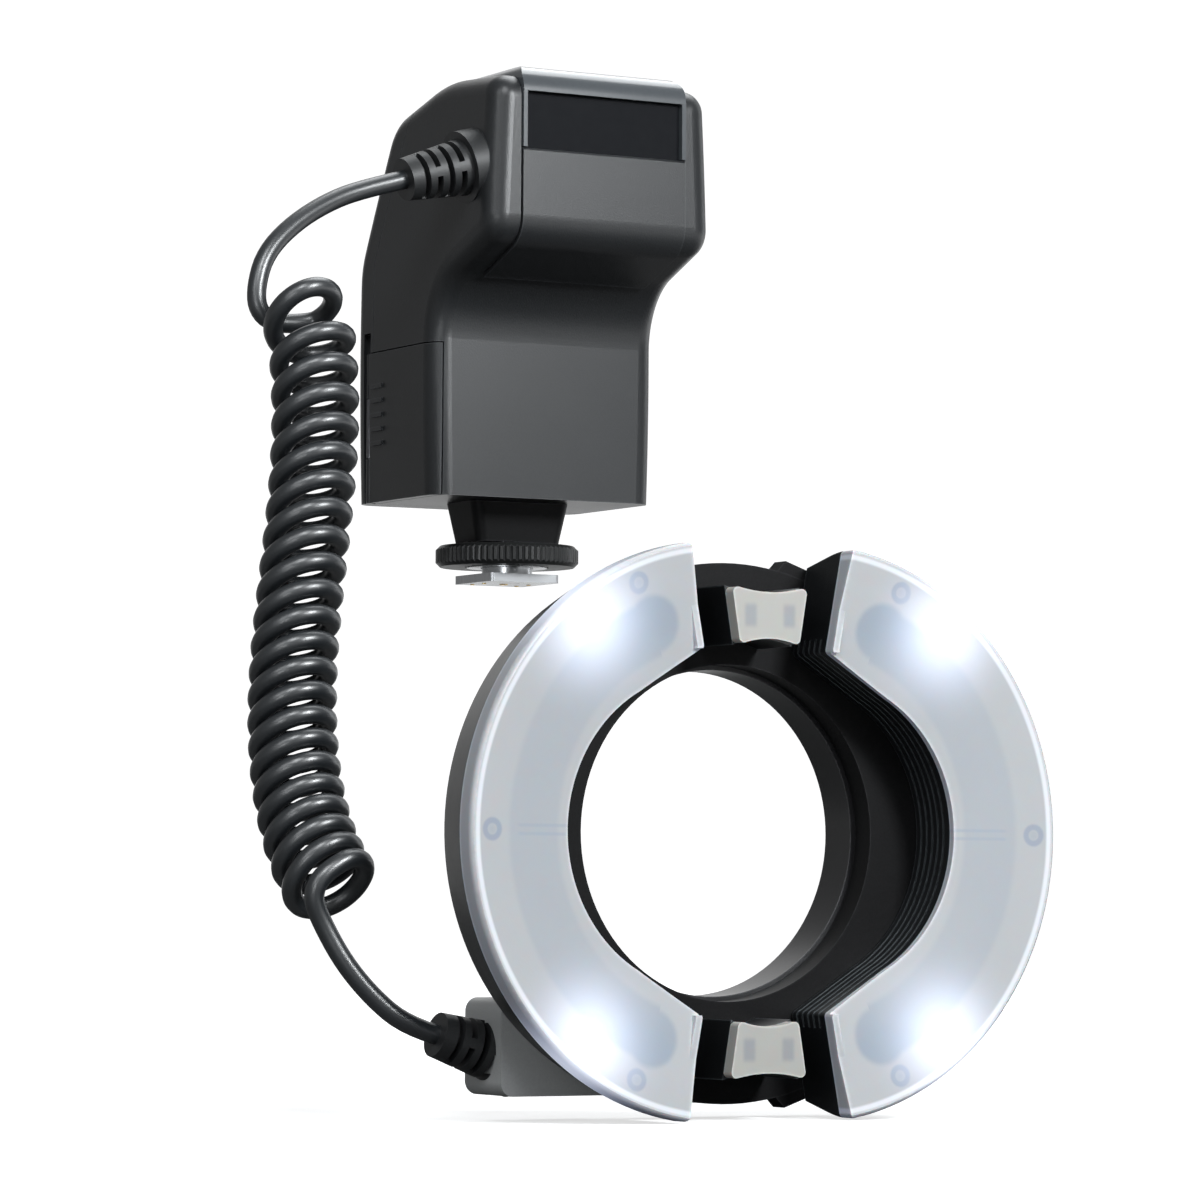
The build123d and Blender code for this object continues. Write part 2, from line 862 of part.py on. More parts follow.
def curl_direction(turn):
    """The direction of the cord at that point."""
    return (curl_point(turn + turn_step_share) - curl_point(turn - turn_step_share)).normalized()


def biarc(start, start_way, end, end_way):
    """Two arcs that leave start along start_way and reach end along end_way."""
    span = end - start
    both = start_way + end_way
    square = 2 * (1 - start_way.dot(end_way))
    along = span.dot(both)
    if abs(square) < parallel_share:
        reach = span.dot(span) / (4 * span.dot(end_way))
    else:
        reach = (-along + math.sqrt(along * along + square * span.dot(span))) / square
    middle = (start + start_way * reach + end - end_way * reach) / 2
    return [
        TangentArc(start, middle, tangent=start_way),
        TangentArc(end, middle, tangent=end_way * -1).edge().reversed(),
    ]


def free_tube(points):
    """A plain tube along straight runs joined by tangent arcs, with its radii and length."""
    places = [Vector(*point) for point in points]
    runs = [(b - a).length for a, b in zip(places, places[1:])]
    radii = []
    for index in range(1, len(places) - 1):
        turn = (places[index] - places[index - 1]).get_angle(places[index + 1] - places[index])
        shorter = min(runs[index - 1], runs[index])
        radii.append(lead_bend_share * shorter / math.tan(math.radians(turn) / 2))
    path = FilletPolyline(*places, radius=radii)
    start = Plane(places[0], z_dir=places[1] - places[0])
    tube = sweep(start * Circle(cord_diameter / 2), path=path)
    print("cord radii", [round(radius, 1) for radius in radii], "length", round(path.length, 1))
    section = math.pi * cord_diameter**2 / 4
    print("tube volume over section times length", round(tube.volume / section / path.length, 5))
    return tube, path.length


upper_route = [
    tuple(upper_tip),
    tuple(upper_tip + upper_way * upper_exit_share * cord_diameter),
    (-64.5, -35.8, 83.4),
    (-75.4, -38.0, 77.0),
    (-83.4, -39.8, 69.4),
    (-86.0, -40.5, 61.5),
]
lower_route = [
    tuple(lower_tip),
    tuple(lower_tip + lower_way * lower_exit_share * cord_diameter),
    (-81.6, -92.0, -95.8),
    (-87.6, -90.2, -88.4),
    (-92.0, -88.6, -79.6),
]
upper_lead, upper_length = free_tube(upper_route)
lower_lead, lower_length = free_tube(lower_route)

entry = Vector(*upper_route[-1])
entry_way = (entry - Vector(*upper_route[-2])).normalized()
leave = Vector(*lower_route[-1])
leave_way = (Vector(*lower_route[-2]) - leave).normalized()
entry_end = entry + entry_way * cord_diameter * end_share
leave_start = leave - leave_way * cord_diameter * end_share
path_edges = [Line(entry, entry_end)]
path_edges += biarc(entry_end, entry_way, curl_point(first_turn), curl_direction(first_turn))
steps = int(round((coil_turns - first_turn) * 2))
for index in range(steps):
    here = first_turn + (coil_turns - first_turn) * index / steps
    there = first_turn + (coil_turns - first_turn) * (index + 1) / steps
    path_edges += biarc(
        curl_point(here), curl_direction(here), curl_point(there), curl_direction(there)
    )
path_edges += biarc(
    curl_point(coil_turns), curl_direction(coil_turns), leave_start, leave_way
)
path_edges.append(Line(leave_start, leave))
coil_path = Wire([edge.edge() for edge in path_edges])
cord_coil = sweep(Plane(entry, z_dir=entry_way) * Circle(cord_diameter / 2), path=coil_path)
coil_volume = math.pi * cord_diameter**2 / 4 * coil_path.length
print("coil length", round(coil_path.length, 1), "volume share", round(cord_coil.volume / coil_volume, 5))

samples = [coil_path.position_at(index / gap_samples) for index in range(gap_samples + 1)]
skip = int(gap_samples * gap_skip_share * cord_diameter / coil_path.length)
least = min(
    (samples[a] - samples[b]).length
    for a in range(0, len(samples), 3)
    for b in range(a + skip, min(a + 6 * skip, len(samples)), 2)
)
print("least gap of the curls to themselves", round(least - cord_diameter, 2))


# Ring: flat outlines are drawn in x and z from the ring's centre
def slab(face, front, back):
    """The flat outline given, thick from front to back in y."""
    return Pos(0, 0, ring_z) * extrude(Plane.XZ.offset(-back) * face, amount=back - front)


def ring_bar(radius, x, z, front, back):
    """A round bar through the ring, along y."""
    return bar(radius, (x, front, ring_z + z), (x, back, ring_z + z))


def half_outline(inset=0):
    """The right lamp half from the front: a round rim, two cut ends and a cranked inner edge."""
    far = 3 * ring_radius
    slope = (end_outer_x - end_inner_x) / (end_outer_z - end_inner_z)
    far_x = end_inner_x + slope * (far - end_inner_z)
    keep = make_face(
        Polyline(
            (bore_turn_x, bore_turn_z),
            (end_inner_x, end_inner_z),
            (far_x, far),
            (far, far),
            (far, -far),
            (far_x, -far),
            (end_inner_x, -end_inner_z),
            (bore_turn_x, -bore_turn_z),
        )
        + ThreePointArc((bore_turn_x, -bore_turn_z), (bore_radius, 0), (bore_turn_x, bore_turn_z))
    )
    face = Circle(ring_radius) & keep
    if inset:
        face = offset(face, amount=-inset)
    else:
        face = fillet(face.vertices().sort_by(Axis.X)[:4], corner_round)
    return Pos(slide_out, 0) * face


def dish(depth_offset):
    """The shallow cone that the front face is dished by, on the half's own axis."""
    run = ring_radius - bore_radius
    depth = dish_depth * ring_radius / run
    start = (slide_out, ring_front + depth_offset, ring_z)
    end = (slide_out, ring_front + depth_offset + depth, ring_z)
    lead = bar(ring_radius * 2, (slide_out, ring_front - overrun, ring_z), start)
    return lead + taper(ring_radius, screw_radius * dish_tip_share, start, end)


def rim_cone(radius_inset):
    """The outer wall narrows from the rim to the back of the housing."""
    start = (slide_out, ring_front + diffuser_depth, ring_z)
    end = (slide_out, housing_back, ring_z)
    return taper(ring_radius - radius_inset, housing_back_radius - radius_inset, start, end)


diffuser_back = ring_front + diffuser_depth
lip_wedge = None
for way in (1, -1):
    wedge = make_face(
        Polyline(
            (end_inner_z * way, ring_front),
            (end_inner_z * way, ring_front + lip_inner_depth),
            (end_outer_z * way, diffuser_back + seam),
            (ring_radius * 2 * way, diffuser_back + seam),
            (ring_radius * 2 * way, ring_front),
            close=True,
        )
    )
    wedge = Plane(origin=(0, 0, ring_z), x_dir=(0, 0, 1), z_dir=(-1, 0, 0)) * wedge
    solid = extrude(wedge, amount=ring_radius * 2, both=True)
    lip_wedge = solid if lip_wedge is None else lip_wedge + solid


def half_pieces():
    """Every piece of the right lamp half, by its plain name."""
    plan = half_outline()
    hollow = half_outline(housing_wall)
    skin = half_outline(diffuser_wall)
    disc = bar(ring_radius, (slide_out, ring_front, ring_z), (slide_out, 0, ring_z))
    disc = fillet(disc.edges().filter_by(GeomType.CIRCLE).sort_by(Axis.Y)[0], rim_round)
    front = (slab(plan, ring_front, diffuser_back) & disc) - dish(0)
    front -= slab(skin, ring_front, diffuser_back + overrun) - dish(diffuser_wall)
    lip = slab(plan, ring_front + diffuser_wall, ring_front + lip_inner_depth) & lip_wedge
    lip -= slab(Pos(lip_thickness, 0) * plan, ring_front, housing_back)
    lip &= block(0, slide_out + end_outer_x + lip_thickness, ring_front, 0, ring_z * 3, 0 - ring_z)
    diffuser = front + lip
    housing = slab(plan, diffuser_back, housing_back) & (rim_cone(0))
    room = slab(hollow, diffuser_back - overrun, housing_back - housing_wall)
    room &= rim_cone(housing_wall) + bar(
        ring_radius - housing_wall,
        (slide_out, ring_front, ring_z),
        (slide_out, diffuser_back, ring_z),
    )
    housing -= room
    housing -= lip
    step = (housing_back - diffuser_back) / (baffle_count + 1)
    cuts = []
    for index in range(baffle_count):
        groove_front = diffuser_back + step * (index + 1)
        grown = slab(
            Pos(slide_out, 0) * Circle(bore_radius + baffle_reach), groove_front,
            groove_front + baffle_width,
        )
        inner_edge = slab(plan, groove_front, groove_front + baffle_width) - slab(
            Pos(baffle_depth, 0) * plan, groove_front, groove_front + baffle_width
        )
        cuts.append(inner_edge & grown)
    for cut in cuts:
        housing -= cut
    bosses, screws = [], []
    for angle in (-boss_angle, 0, boss_angle):
        x = slide_out + boss_circle * math.cos(math.radians(angle))
        z = boss_circle * math.sin(math.radians(angle))
        post = ring_bar(boss_radius, x, z, diffuser_back + seam, housing_back)
        hole = ring_bar(screw_radius, x, z, diffuser_back, housing_back)
        bosses.append(post)
        housing += post & rim_cone(0)
        housing -= hole
        housing -= ring_bar(
            screw_head_radius + seam, x, z, housing_back - screw_head_height, housing_back + overrun
        )
        screws.append(
            ring_bar(screw_radius, x, z, diffuser_back + seam, housing_back)
            + ring_bar(screw_head_radius, x, z, housing_back - screw_head_height, housing_back)
        )
        screws[-1] &= rim_cone(0)
    band = Circle(chamber_outer) - Circle(chamber_inner)
    spread = math.radians(chamber_angle)
    far = ring_radius * 2
    wedge = make_face(
        Polyline(
            (0, 0),
            (far * math.cos(spread), far * math.sin(spread)),
            (far * 2, far * math.sin(spread)),
            (far * 2, -far * math.sin(spread)),
            (far * math.cos(spread), -far * math.sin(spread)),
            close=True,
        )
    )
    middle = (chamber_inner + chamber_outer) / 2
    width = (chamber_outer - chamber_inner) / 2
    tray_plan = band & wedge
    for way in (1, -1):
        tray_plan += Pos(middle * math.cos(spread), way * middle * math.sin(spread)) * Circle(width)
    tray_plan = Pos(slide_out, 0) * tray_plan
    floor = housing_back - housing_wall
    reflector = slab(tray_plan, chamber_front, floor)
    reflector -= slab(offset(tray_plan, amount=-chamber_wall), chamber_front - overrun, floor - chamber_wall)
    reflector += block(
        slide_out + chamber_inner + chamber_wall, slide_out + chamber_outer - chamber_wall,
        chamber_front + tube_radius * 4, floor - chamber_wall, ring_z - chamber_wall / 2,
        ring_z + chamber_wall / 2,
    )
    tube_y = floor - chamber_wall - tube_radius * 2
    section = Plane(
        origin=(slide_out + middle * math.cos(math.radians(tube_angle)), tube_y,
                ring_z - middle * math.sin(math.radians(tube_angle))),
        z_dir=(math.sin(math.radians(tube_angle)), 0, math.cos(math.radians(tube_angle))),
    ) * Circle(tube_radius)
    flash_tube = revolve(
        section,
        axis=Axis((slide_out, tube_y, ring_z), (0, -1, 0)),
        revolution_arc=2 * tube_angle,
    )
    reflector -= revolve(
        section,
        axis=Axis((slide_out, tube_y, ring_z), (0, -1, 0)),
        revolution_arc=2 * tube_angle,
    )
    leds = []
    for angle in (-led_angle, led_angle):
        x = slide_out + boss_circle * math.cos(math.radians(angle))
        z = boss_circle * math.sin(math.radians(angle))
        base = ring_bar(led_radius, x, z, chamber_front - led_height / 2, floor)
        dome = Pos(x, chamber_front - led_height / 2, ring_z + z) * Sphere(led_radius)
        leds.append((base + dome) & slab(hollow, diffuser_back, floor) & rim_cone(housing_wall))
    led_group = group(leds)
    reflector -= led_group
    rails = []
    for way in (1, -1):
        rails.append(
            block(
                rail_inner, rail_outer, housing_back, housing_back + rail_thickness,
                ring_z + way * rail_z - rail_width / 2, ring_z + way * rail_z + rail_width / 2,
            )
        )
    return {
        "diffuser": diffuser,
        "lamp_housing": housing,
        "reflector": reflector,
        "flash_tube": flash_tube,
        "modelling_leds": led_group,
        "slide_rails": group(rails),
        "lamp_screws": group(screws),
    }


right_half = half_pieces()
left_half = {name: mirror(shape, Plane.YZ) for name, shape in right_half.items()}

# Base that carries the lamp halves and clips on the adapter ring
ring_base = slab(Circle(base_radius) - Circle(base_bore), base_front, base_back)
ring_base -= slab(
    Circle(base_radius - base_wall) - Circle(adapter_flange + base_wall * 2),
    base_front + base_wall * base_floor_share,
    base_back + overrun,
)
for way in (1, -1):
    for side in (1, -1):
        ends = sorted((side * (rail_inner - slide_travel - slide_gap), side * (rail_outer + slide_gap)))
        ring_base -= block(
            ends[0], ends[1], base_front - overrun, housing_back + rail_thickness + slide_gap,
            ring_z + way * rail_z - rail_width / 2 - slide_gap,
            ring_z + way * rail_z + rail_width / 2 + slide_gap,
        )
        cap = make_face(
            Polyline(
                (side * cap_inner, way * (base_radius - cap_height * 2)),
                (side * cap_inner, way * (base_radius - cap_height)),
                (side * (cap_inner + (cap_outer - cap_inner) / 4), way * (base_radius + cap_height / 2)),
                (side * cap_outer, way * (base_radius - cap_height)),
                (side * cap_outer, way * (base_radius - cap_height * 3)),
                close=True,
            )
        )
        ring_base += slab(cap, base_front + seam, base_front + cap_depth)
adapter_back = base_back + cover_thickness
adapter_front = base_back - adapter_flange_thickness * 2
ring_base -= slab(
    Circle(adapter_flange + running_gap), adapter_front - slide_gap, base_back + overrun
)
ring_rear_cover = slab(
    Circle(base_radius - seam) - Circle(adapter_radius + slide_gap * 3), base_back, adapter_back
)
adapter_ring = slab(
    Circle(adapter_flange) - Circle(adapter_bore), adapter_front, base_back - slide_gap
)
adapter_ring += slab(
    Circle(adapter_neck) - Circle(adapter_bore), base_back - slide_gap, adapter_back
)
adapter_ring += slab(
    Circle(adapter_radius) - Circle(adapter_bore), adapter_back, adapter_back + adapter_thread
)

# Release tabs on both sides
tab_z = (-release_width / 2, release_width / 2)
tab_front = base_front + base_wall
tab_back = tab_front + release_thickness
release_tabs = {}
for name, side in (("left", -1), ("right", 1)):
    inner_x, outer_x = base_radius - release_length, base_radius + release_proud
    xs = sorted((side * inner_x, side * outer_x))
    release_tabs[name] = block(
        xs[0], xs[1], tab_front, tab_back, ring_z + tab_z[0], ring_z + tab_z[1]
    )
    hole = sorted((side * (inner_x - release_travel - slide_gap), side * (outer_x + overrun)))
    ring_base -= block(
        hole[0], hole[1], tab_front - slide_gap, tab_back + slide_gap, ring_z + tab_z[0] - slide_gap,
        ring_z + tab_z[1] + slide_gap,
    )

# Lamp blocks and focus windows at the top and bottom of the ring
focus_plans, block_plans, lamps, focus_windows, lamp_blocks = [], [], [], [], []
for way in (1, -1):
    corners = [
        (-block_foot_half_width, way * block_low),
        (block_foot_half_width, way * block_low),
        (block_half_width, way * block_high),
        (-block_half_width, way * block_high),
    ]
    plan = make_face(
        ThreePointArc(corners[0], (0, way * (block_low + focus_scoop)), corners[1])
        + Line(corners[1], corners[2])
        + ThreePointArc(corners[2], (0, way * (block_high - focus_scoop)), corners[3])
        + Line(corners[3], corners[0])
    )
    rounded = fillet(plan.vertices(), corner_round)
    window = slab(rounded, block_front - focus_thickness, block_front)
    window -= slab(
        offset(plan, amount=-focus_wall), block_front - focus_thickness + focus_face, block_front
    )
    focus_windows.append(window)
    lamp_blocks.append(slab(plan, block_front, base_front))
    for side in (-1, 1):
        lamps.append(
            block(
                side * lamp_offset - lamp_width / 2,
                side * lamp_offset + lamp_width / 2,
                block_front - wall / 2,
                block_front,
                ring_z + way * (block_low + block_high) / 2 - lamp_height / 2,
                ring_z + way * (block_low + block_high) / 2 + lamp_height / 2,
            )
        )

# Cable boss at the lower left of the base
cable_boss = block(
    boss_left, boss_right, boss_front, boss_back, ring_z + boss_low, ring_z + boss_high
)
cable_boss = fillet(cable_boss.edges().filter_by(Axis.Y), boss_corner)
cable_boss -= slab(Circle(base_radius), base_front - overrun, adapter_back)
cable_boss -= lower_relief

cover_screws = []
for index in range(cover_screw_count):
    angle = 2 * math.pi * (index + 0.5) / cover_screw_count
    x, z = cover_screw_circle * math.cos(angle), cover_screw_circle * math.sin(angle)
    shank = ring_bar(screw_radius, x, z, base_front + base_wall * base_floor_share, adapter_back)
    head = ring_bar(screw_head_radius, x, z, adapter_back, adapter_back + screw_head_height)
    ring_base += ring_bar(boss_radius, x, z, base_front + base_wall, base_back)
    ring_base -= shank
    ring_rear_cover -= shank
    cover_screws.append(shank + head)

# Everything is written under its own name
save("front_shell", front_shell)
save("rear_shell", rear_shell)
save("top_cover", top_cover)
save("signal_window", signal_window)
save("head_fascia", head_fascia)
save("rating_plate", rating_plate)
save("battery_door", door)
save("door_hinge_leaf", door_hinge_leaf)
save("door_hinge_pin", door_hinge_pin)
save("battery_magazine", magazine)
save("battery_cells", group(cells))
save("battery_contacts", group(plates))
save("main_board", main_board)
save("main_capacitor", main_capacitor)
save("button_switches", button_switches)
save("display_window", display_window)
save("display_module", display_module)
save("dial_encoder", dial_encoder)
save("select_dial", select_dial)
save("set_button", set_button)
save("power_button", power_button)
save("test_button", test_button)
save("terminal_flap", terminal_flap)
save("terminal_block", terminal_block)
save("terminal_sockets", group(sockets))
save("foot_pedestal", foot_pedestal)
save("foot_plate", foot_plate)
save("shoe_contacts", group(contacts))
save("lock_pin", lock_pin)
save("clamp_plate", clamp_plate)
save("lock_wheel", lock_wheel)
save("upper_strain_relief", upper_relief)
save("lower_strain_relief", lower_relief)
save("cord_upper_lead", upper_lead)
save("cord_coil", cord_coil)
save("cord_lower_lead", lower_lead)
save("ring_base", ring_base)
save("ring_rear_cover", ring_rear_cover)
save("cover_screws", group(cover_screws))
save("cable_boss", cable_boss)
save("lamp_blocks", group(lamp_blocks))
save("focus_windows", group(focus_windows))
save("focus_lamps", group(lamps))
save("adapter_ring", adapter_ring)
for side, tab in release_tabs.items():
    save(f"release_tab_{side}", tab)
for side, half in (("left", left_half), ("right", right_half)):
    for name, shape in half.items():
        save(f"{side}_{name}", shape)
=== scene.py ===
import math
import bpy
import numpy as np
from mathutils import Matrix, Vector


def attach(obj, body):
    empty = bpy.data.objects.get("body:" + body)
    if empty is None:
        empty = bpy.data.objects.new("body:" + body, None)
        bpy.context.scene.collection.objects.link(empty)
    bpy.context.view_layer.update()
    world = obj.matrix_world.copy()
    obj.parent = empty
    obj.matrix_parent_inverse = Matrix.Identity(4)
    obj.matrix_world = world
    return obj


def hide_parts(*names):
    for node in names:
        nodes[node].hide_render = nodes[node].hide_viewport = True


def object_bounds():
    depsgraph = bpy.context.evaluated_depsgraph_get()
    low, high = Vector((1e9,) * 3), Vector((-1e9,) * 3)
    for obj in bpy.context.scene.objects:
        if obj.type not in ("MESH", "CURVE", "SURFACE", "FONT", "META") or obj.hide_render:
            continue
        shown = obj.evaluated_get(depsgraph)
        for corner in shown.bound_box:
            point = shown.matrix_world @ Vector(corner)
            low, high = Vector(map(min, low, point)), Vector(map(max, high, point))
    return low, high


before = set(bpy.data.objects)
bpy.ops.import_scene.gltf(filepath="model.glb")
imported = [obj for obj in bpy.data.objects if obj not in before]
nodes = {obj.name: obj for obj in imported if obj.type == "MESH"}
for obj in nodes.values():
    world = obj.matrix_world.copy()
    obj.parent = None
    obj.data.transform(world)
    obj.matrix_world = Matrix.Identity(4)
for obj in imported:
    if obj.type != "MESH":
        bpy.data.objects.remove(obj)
cad_box = [list(corner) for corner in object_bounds()]
scene = bpy.context.scene
scene.view_settings.view_transform = "Standard"

# View: three quarter view from the front left and slightly below
# Its turn, tilt and roll in radians and its place in metres were fitted to the photograph
VIEW_TURN, VIEW_TILT, VIEW_ROLL = 0.513, 0.058, -0.005
VIEW_PLACE = (-0.575, -1.066, -0.074)
VIEW_LENS_MM, VIEW_FRAME_MM = 152.97, 36.0
ahead = Vector((math.sin(VIEW_TURN), math.cos(VIEW_TURN), 0.0))
side = Vector((math.cos(VIEW_TURN), -math.sin(VIEW_TURN), 0.0))
up = Vector((0.0, 0.0, 1.0))
look = ahead * math.cos(VIEW_TILT) + up * math.sin(VIEW_TILT)
rise = up * math.cos(VIEW_TILT) - ahead * math.sin(VIEW_TILT)
right = side * math.cos(VIEW_ROLL) - rise * math.sin(VIEW_ROLL)
top = side * math.sin(VIEW_ROLL) + rise * math.cos(VIEW_ROLL)
view_data = bpy.data.cameras.new("view")
view_data.lens = VIEW_LENS_MM
view_data.sensor_width = VIEW_FRAME_MM
view_data.clip_start = 0.05
view_data.clip_end = 60.0
view = bpy.data.objects.new("view", view_data)
axes = Matrix((right, top, -look)).transposed().to_4x4()
view.matrix_world = Matrix.Translation(VIEW_PLACE) @ axes
scene.collection.objects.link(view)
scene.camera = view

# Curly cord: joins the control unit to the ring, each end held in a moulded relief
# A round sheath of satin black rubber, wound hot on a rod so that its curls spring back
# Modelled as one NURBS tube, laid out in millimetres
MM = 0.001
CORD_RADIUS = 2.2
COIL_TURNS, COIL_RADIUS, FIRST_TURN, TURN_POINTS = 22.75, 7.8, 0.35, 16
PITCH_RATIO = 0.62
COIL_TOP = (-83.0, -47.5, 59.3)
COIL_DROP, COIL_FORWARD = 132.5, 26.5
COIL_SWAY, SWAY_START, SWAY_LENGTH = 6.6, 0.1, 0.72
COIL_TILT = 29.0
END_SHARE, END_FORWARD, END_TILT, END_CANT = 0.09, 11.5, 27.0, 16.0
OPEN_TURN, OPEN_SPREAD, OPEN_SHIFT, OPEN_RISE = 0.68, 0.33, 2.8, 2.9
ENTRY_SPREAD, ENTRY_DROP = 0.45, 1.4
UPPER_EXIT = (-46.22, -35.0, 89.22)
LOWER_EXIT = (-67.33, -94.0, -103.79)
UPPER_LEAD = [
    UPPER_EXIT,
    (-54.7, -35.0, 86.9),
    (-64.5, -35.8, 83.4),
    (-75.4, -38.0, 77.0),
    (-83.4, -39.8, 69.4),
    (-86.0, -40.5, 61.5),
    (-85.6, -40.6, 56.2),
    (-81.6, -40.8, 53.4),
]
LOWER_LEAD = [
    (-93.2, -89.9, -70.2),
    (-94.6, -88.9, -74.6),
    (-92.0, -88.6, -80.0),
    (-87.6, -90.2, -88.4),
    (-81.6, -92.0, -95.8),
    (-74.7, -94.0, -101.7),
    LOWER_EXIT,
]


def curl_point(turn):
    """A control point of the curls, by turns from their top.

    A helix round a hanging line that sways from side to side and swings forward at its end.
    The pitch shrinks downwards to PITCH_RATIO of its first value. The first turn stands open,
    and the last ones tilt and cant towards the ring.
    """
    lost = (1 - PITCH_RATIO) * turn * turn / (2 * COIL_TURNS)
    share = (turn - lost) / (COIL_TURNS * (1 + PITCH_RATIO) / 2)
    angle = 2 * math.pi * turn
    sway = COIL_SWAY * math.cos(math.pi * (share - SWAY_START) / SWAY_LENGTH)
    late = math.exp((share - 1) / END_SHARE)
    opened = math.exp(-(((turn - OPEN_TURN) / OPEN_SPREAD) ** 2))
    entering = math.exp(-((turn / ENTRY_SPREAD) ** 2))
    tilt = math.radians(COIL_TILT + END_TILT * late)
    cant = math.radians(END_CANT * late)
    radius = COIL_RADIUS / math.cos(math.pi / TURN_POINTS)
    across, depth = -radius * math.cos(angle), radius * math.sin(angle)
    return (
        COIL_TOP[0] + sway + across * math.cos(cant) - OPEN_SHIFT * opened,
        COIL_TOP[1] - COIL_FORWARD * share - END_FORWARD * late + depth * math.cos(tilt),
        COIL_TOP[2] - COIL_DROP * share - depth * math.sin(tilt) + across * math.sin(cant)
        + OPEN_RISE * opened - ENTRY_DROP * entering,
    )


turn_count = int(round((COIL_TURNS - FIRST_TURN) * TURN_POINTS))
curls = [
    curl_point(FIRST_TURN + (COIL_TURNS - FIRST_TURN) * index / turn_count)
    for index in range(turn_count + 1)
]
cord_points = UPPER_LEAD + curls + LOWER_LEAD
cord_data = bpy.data.curves.new("curly_cord", "CURVE")
cord_data.dimensions = "3D"
cord_data.resolution_u = 5
cord_data.bevel_depth = 1.0
cord_data.bevel_resolution = 6
cord_data.use_fill_caps = True
spline = cord_data.splines.new("NURBS")
spline.points.add(len(cord_points) - 1)
for point, place in zip(spline.points, cord_points):
    point.co = (*(Vector(place) * MM), 1.0)
    point.radius = CORD_RADIUS * MM
spline.use_endpoint_u = True
spline.order_u = 3
curly_cord = bpy.data.objects.new("curly_cord", cord_data)
scene.collection.objects.link(curly_cord)
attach(curly_cord, "flash_body")
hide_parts("cord_upper_lead", "cord_coil", "cord_lower_lead")


def node(tree, kind, inputs=None, **settings):
    """A new node with its settings, and with inputs given as values or sockets."""
    new = tree.nodes.new(kind)
    for name, value in settings.items():
        setattr(new, name, value)
    for name, value in (inputs or {}).items():
        if isinstance(value, bpy.types.NodeSocket):
            tree.links.new(value, new.inputs[name])
        else:
            new.inputs[name].default_value = value
    return new


def maths(tree, operation, *values, clamp=False):
    """A math node's result."""
    new = tree.nodes.new("ShaderNodeMath")
    new.operation = operation
    new.use_clamp = clamp
    for index, value in enumerate(values):
        if isinstance(value, bpy.types.NodeSocket):
            tree.links.new(value, new.inputs[index])
        else:
            new.inputs[index].default_value = value
    return new.outputs[0]


def blend_colours(tree, factor, first, second):
    """Two colours mixed by factor."""
    new = tree.nodes.new("ShaderNodeMix")
    new.data_type = "RGBA"
    for index, value in ((0, factor), (6, first), (7, second)):
        if isinstance(value, bpy.types.NodeSocket):
            tree.links.new(value, new.inputs[index])
        elif index:
            new.inputs[index].default_value = (*value, 1.0)
        else:
            new.inputs[index].default_value = value
    return new.outputs[2]


def new_group(name, inputs, outputs):
    """An empty node group with its sockets, its input node and its output node."""
    tree = bpy.data.node_groups.new(name, "ShaderNodeTree")
    for label, kind, value in inputs:
        socket = tree.interface.new_socket(label, in_out="INPUT", socket_type=kind)
        socket.default_value = value
    for label, kind in outputs:
        tree.interface.new_socket(label, in_out="OUTPUT", socket_type=kind)
    return tree, tree.nodes.new("NodeGroupInput"), tree.nodes.new("NodeGroupOutput")


def grain_group():
    """Fine spark-eroded grain of a mould: a bumped normal, a fine tone and a slow sheen."""
    tree, start, end = new_group(
        "moulded_grain",
        [("Grain Size", "NodeSocketFloat", 0.0004), ("Depth", "NodeSocketFloat", 0.00003)],
        [("Normal", "NodeSocketVector"), ("Tone", "NodeSocketFloat"), ("Sheen", "NodeSocketFloat")],
    )
    place = tree.nodes.new("ShaderNodeTexCoord").outputs["Object"]
    scale = maths(tree, "DIVIDE", 1.0, start.outputs["Grain Size"])
    fine = node(tree, "ShaderNodeTexNoise", {"Vector": place, "Scale": scale, "Detail": 2.0})
    slow = node(tree, "ShaderNodeTexNoise", {"Vector": place, "Scale": 38.0, "Detail": 3.0})
    bump = node(
        tree,
        "ShaderNodeBump",
        {"Height": fine.outputs[0], "Distance": start.outputs["Depth"], "Strength": 1.0},
    )
    tree.links.new(bump.outputs[0], end.inputs["Normal"])
    tree.links.new(fine.outputs[0], end.inputs["Tone"])
    tree.links.new(slow.outputs[0], end.inputs["Sheen"])
    return tree


def wear_and_highlight_group():
    """Edges made slightly bright, rubbed wear on some parts and a painted highlight on others,
    found by comparing the bevelled normal with the true one.
    """
    tree, start, end = new_group(
        "rubbed_and_highlit_edges",
        [("Width", "NodeSocketFloat", 0.0006)],
        [("Mask", "NodeSocketFloat")],
    )
    place = tree.nodes.new("ShaderNodeTexCoord").outputs["Object"]
    bevel = node(tree, "ShaderNodeBevel", {"Radius": start.outputs["Width"]}, samples=4)
    true = tree.nodes.new("ShaderNodeNewGeometry").outputs["Normal"]
    dot = node(
        tree, "ShaderNodeVectorMath", {0: bevel.outputs[0], 1: true}, operation="DOT_PRODUCT"
    )
    spots = node(tree, "ShaderNodeTexNoise", {"Vector": place, "Scale": 700.0, "Detail": 3.0})
    edge = maths(tree, "SUBTRACT", 1.0, dot.outputs["Value"])
    edge = maths(tree, "MULTIPLY", edge, spots.outputs[0])
    edge = maths(tree, "MULTIPLY", edge, 6.0, clamp=True)
    tree.links.new(edge, end.inputs["Mask"])
    return tree


GRAIN = grain_group()
EDGE_WEAR_AND_HIGHLIGHT = wear_and_highlight_group()


def plain_material(name):
    """A material with its tree and its Principled node."""
    material = bpy.data.materials.new(name)
    material.use_nodes = True
    tree = material.node_tree
    return material, tree, tree.nodes["Principled BSDF"]


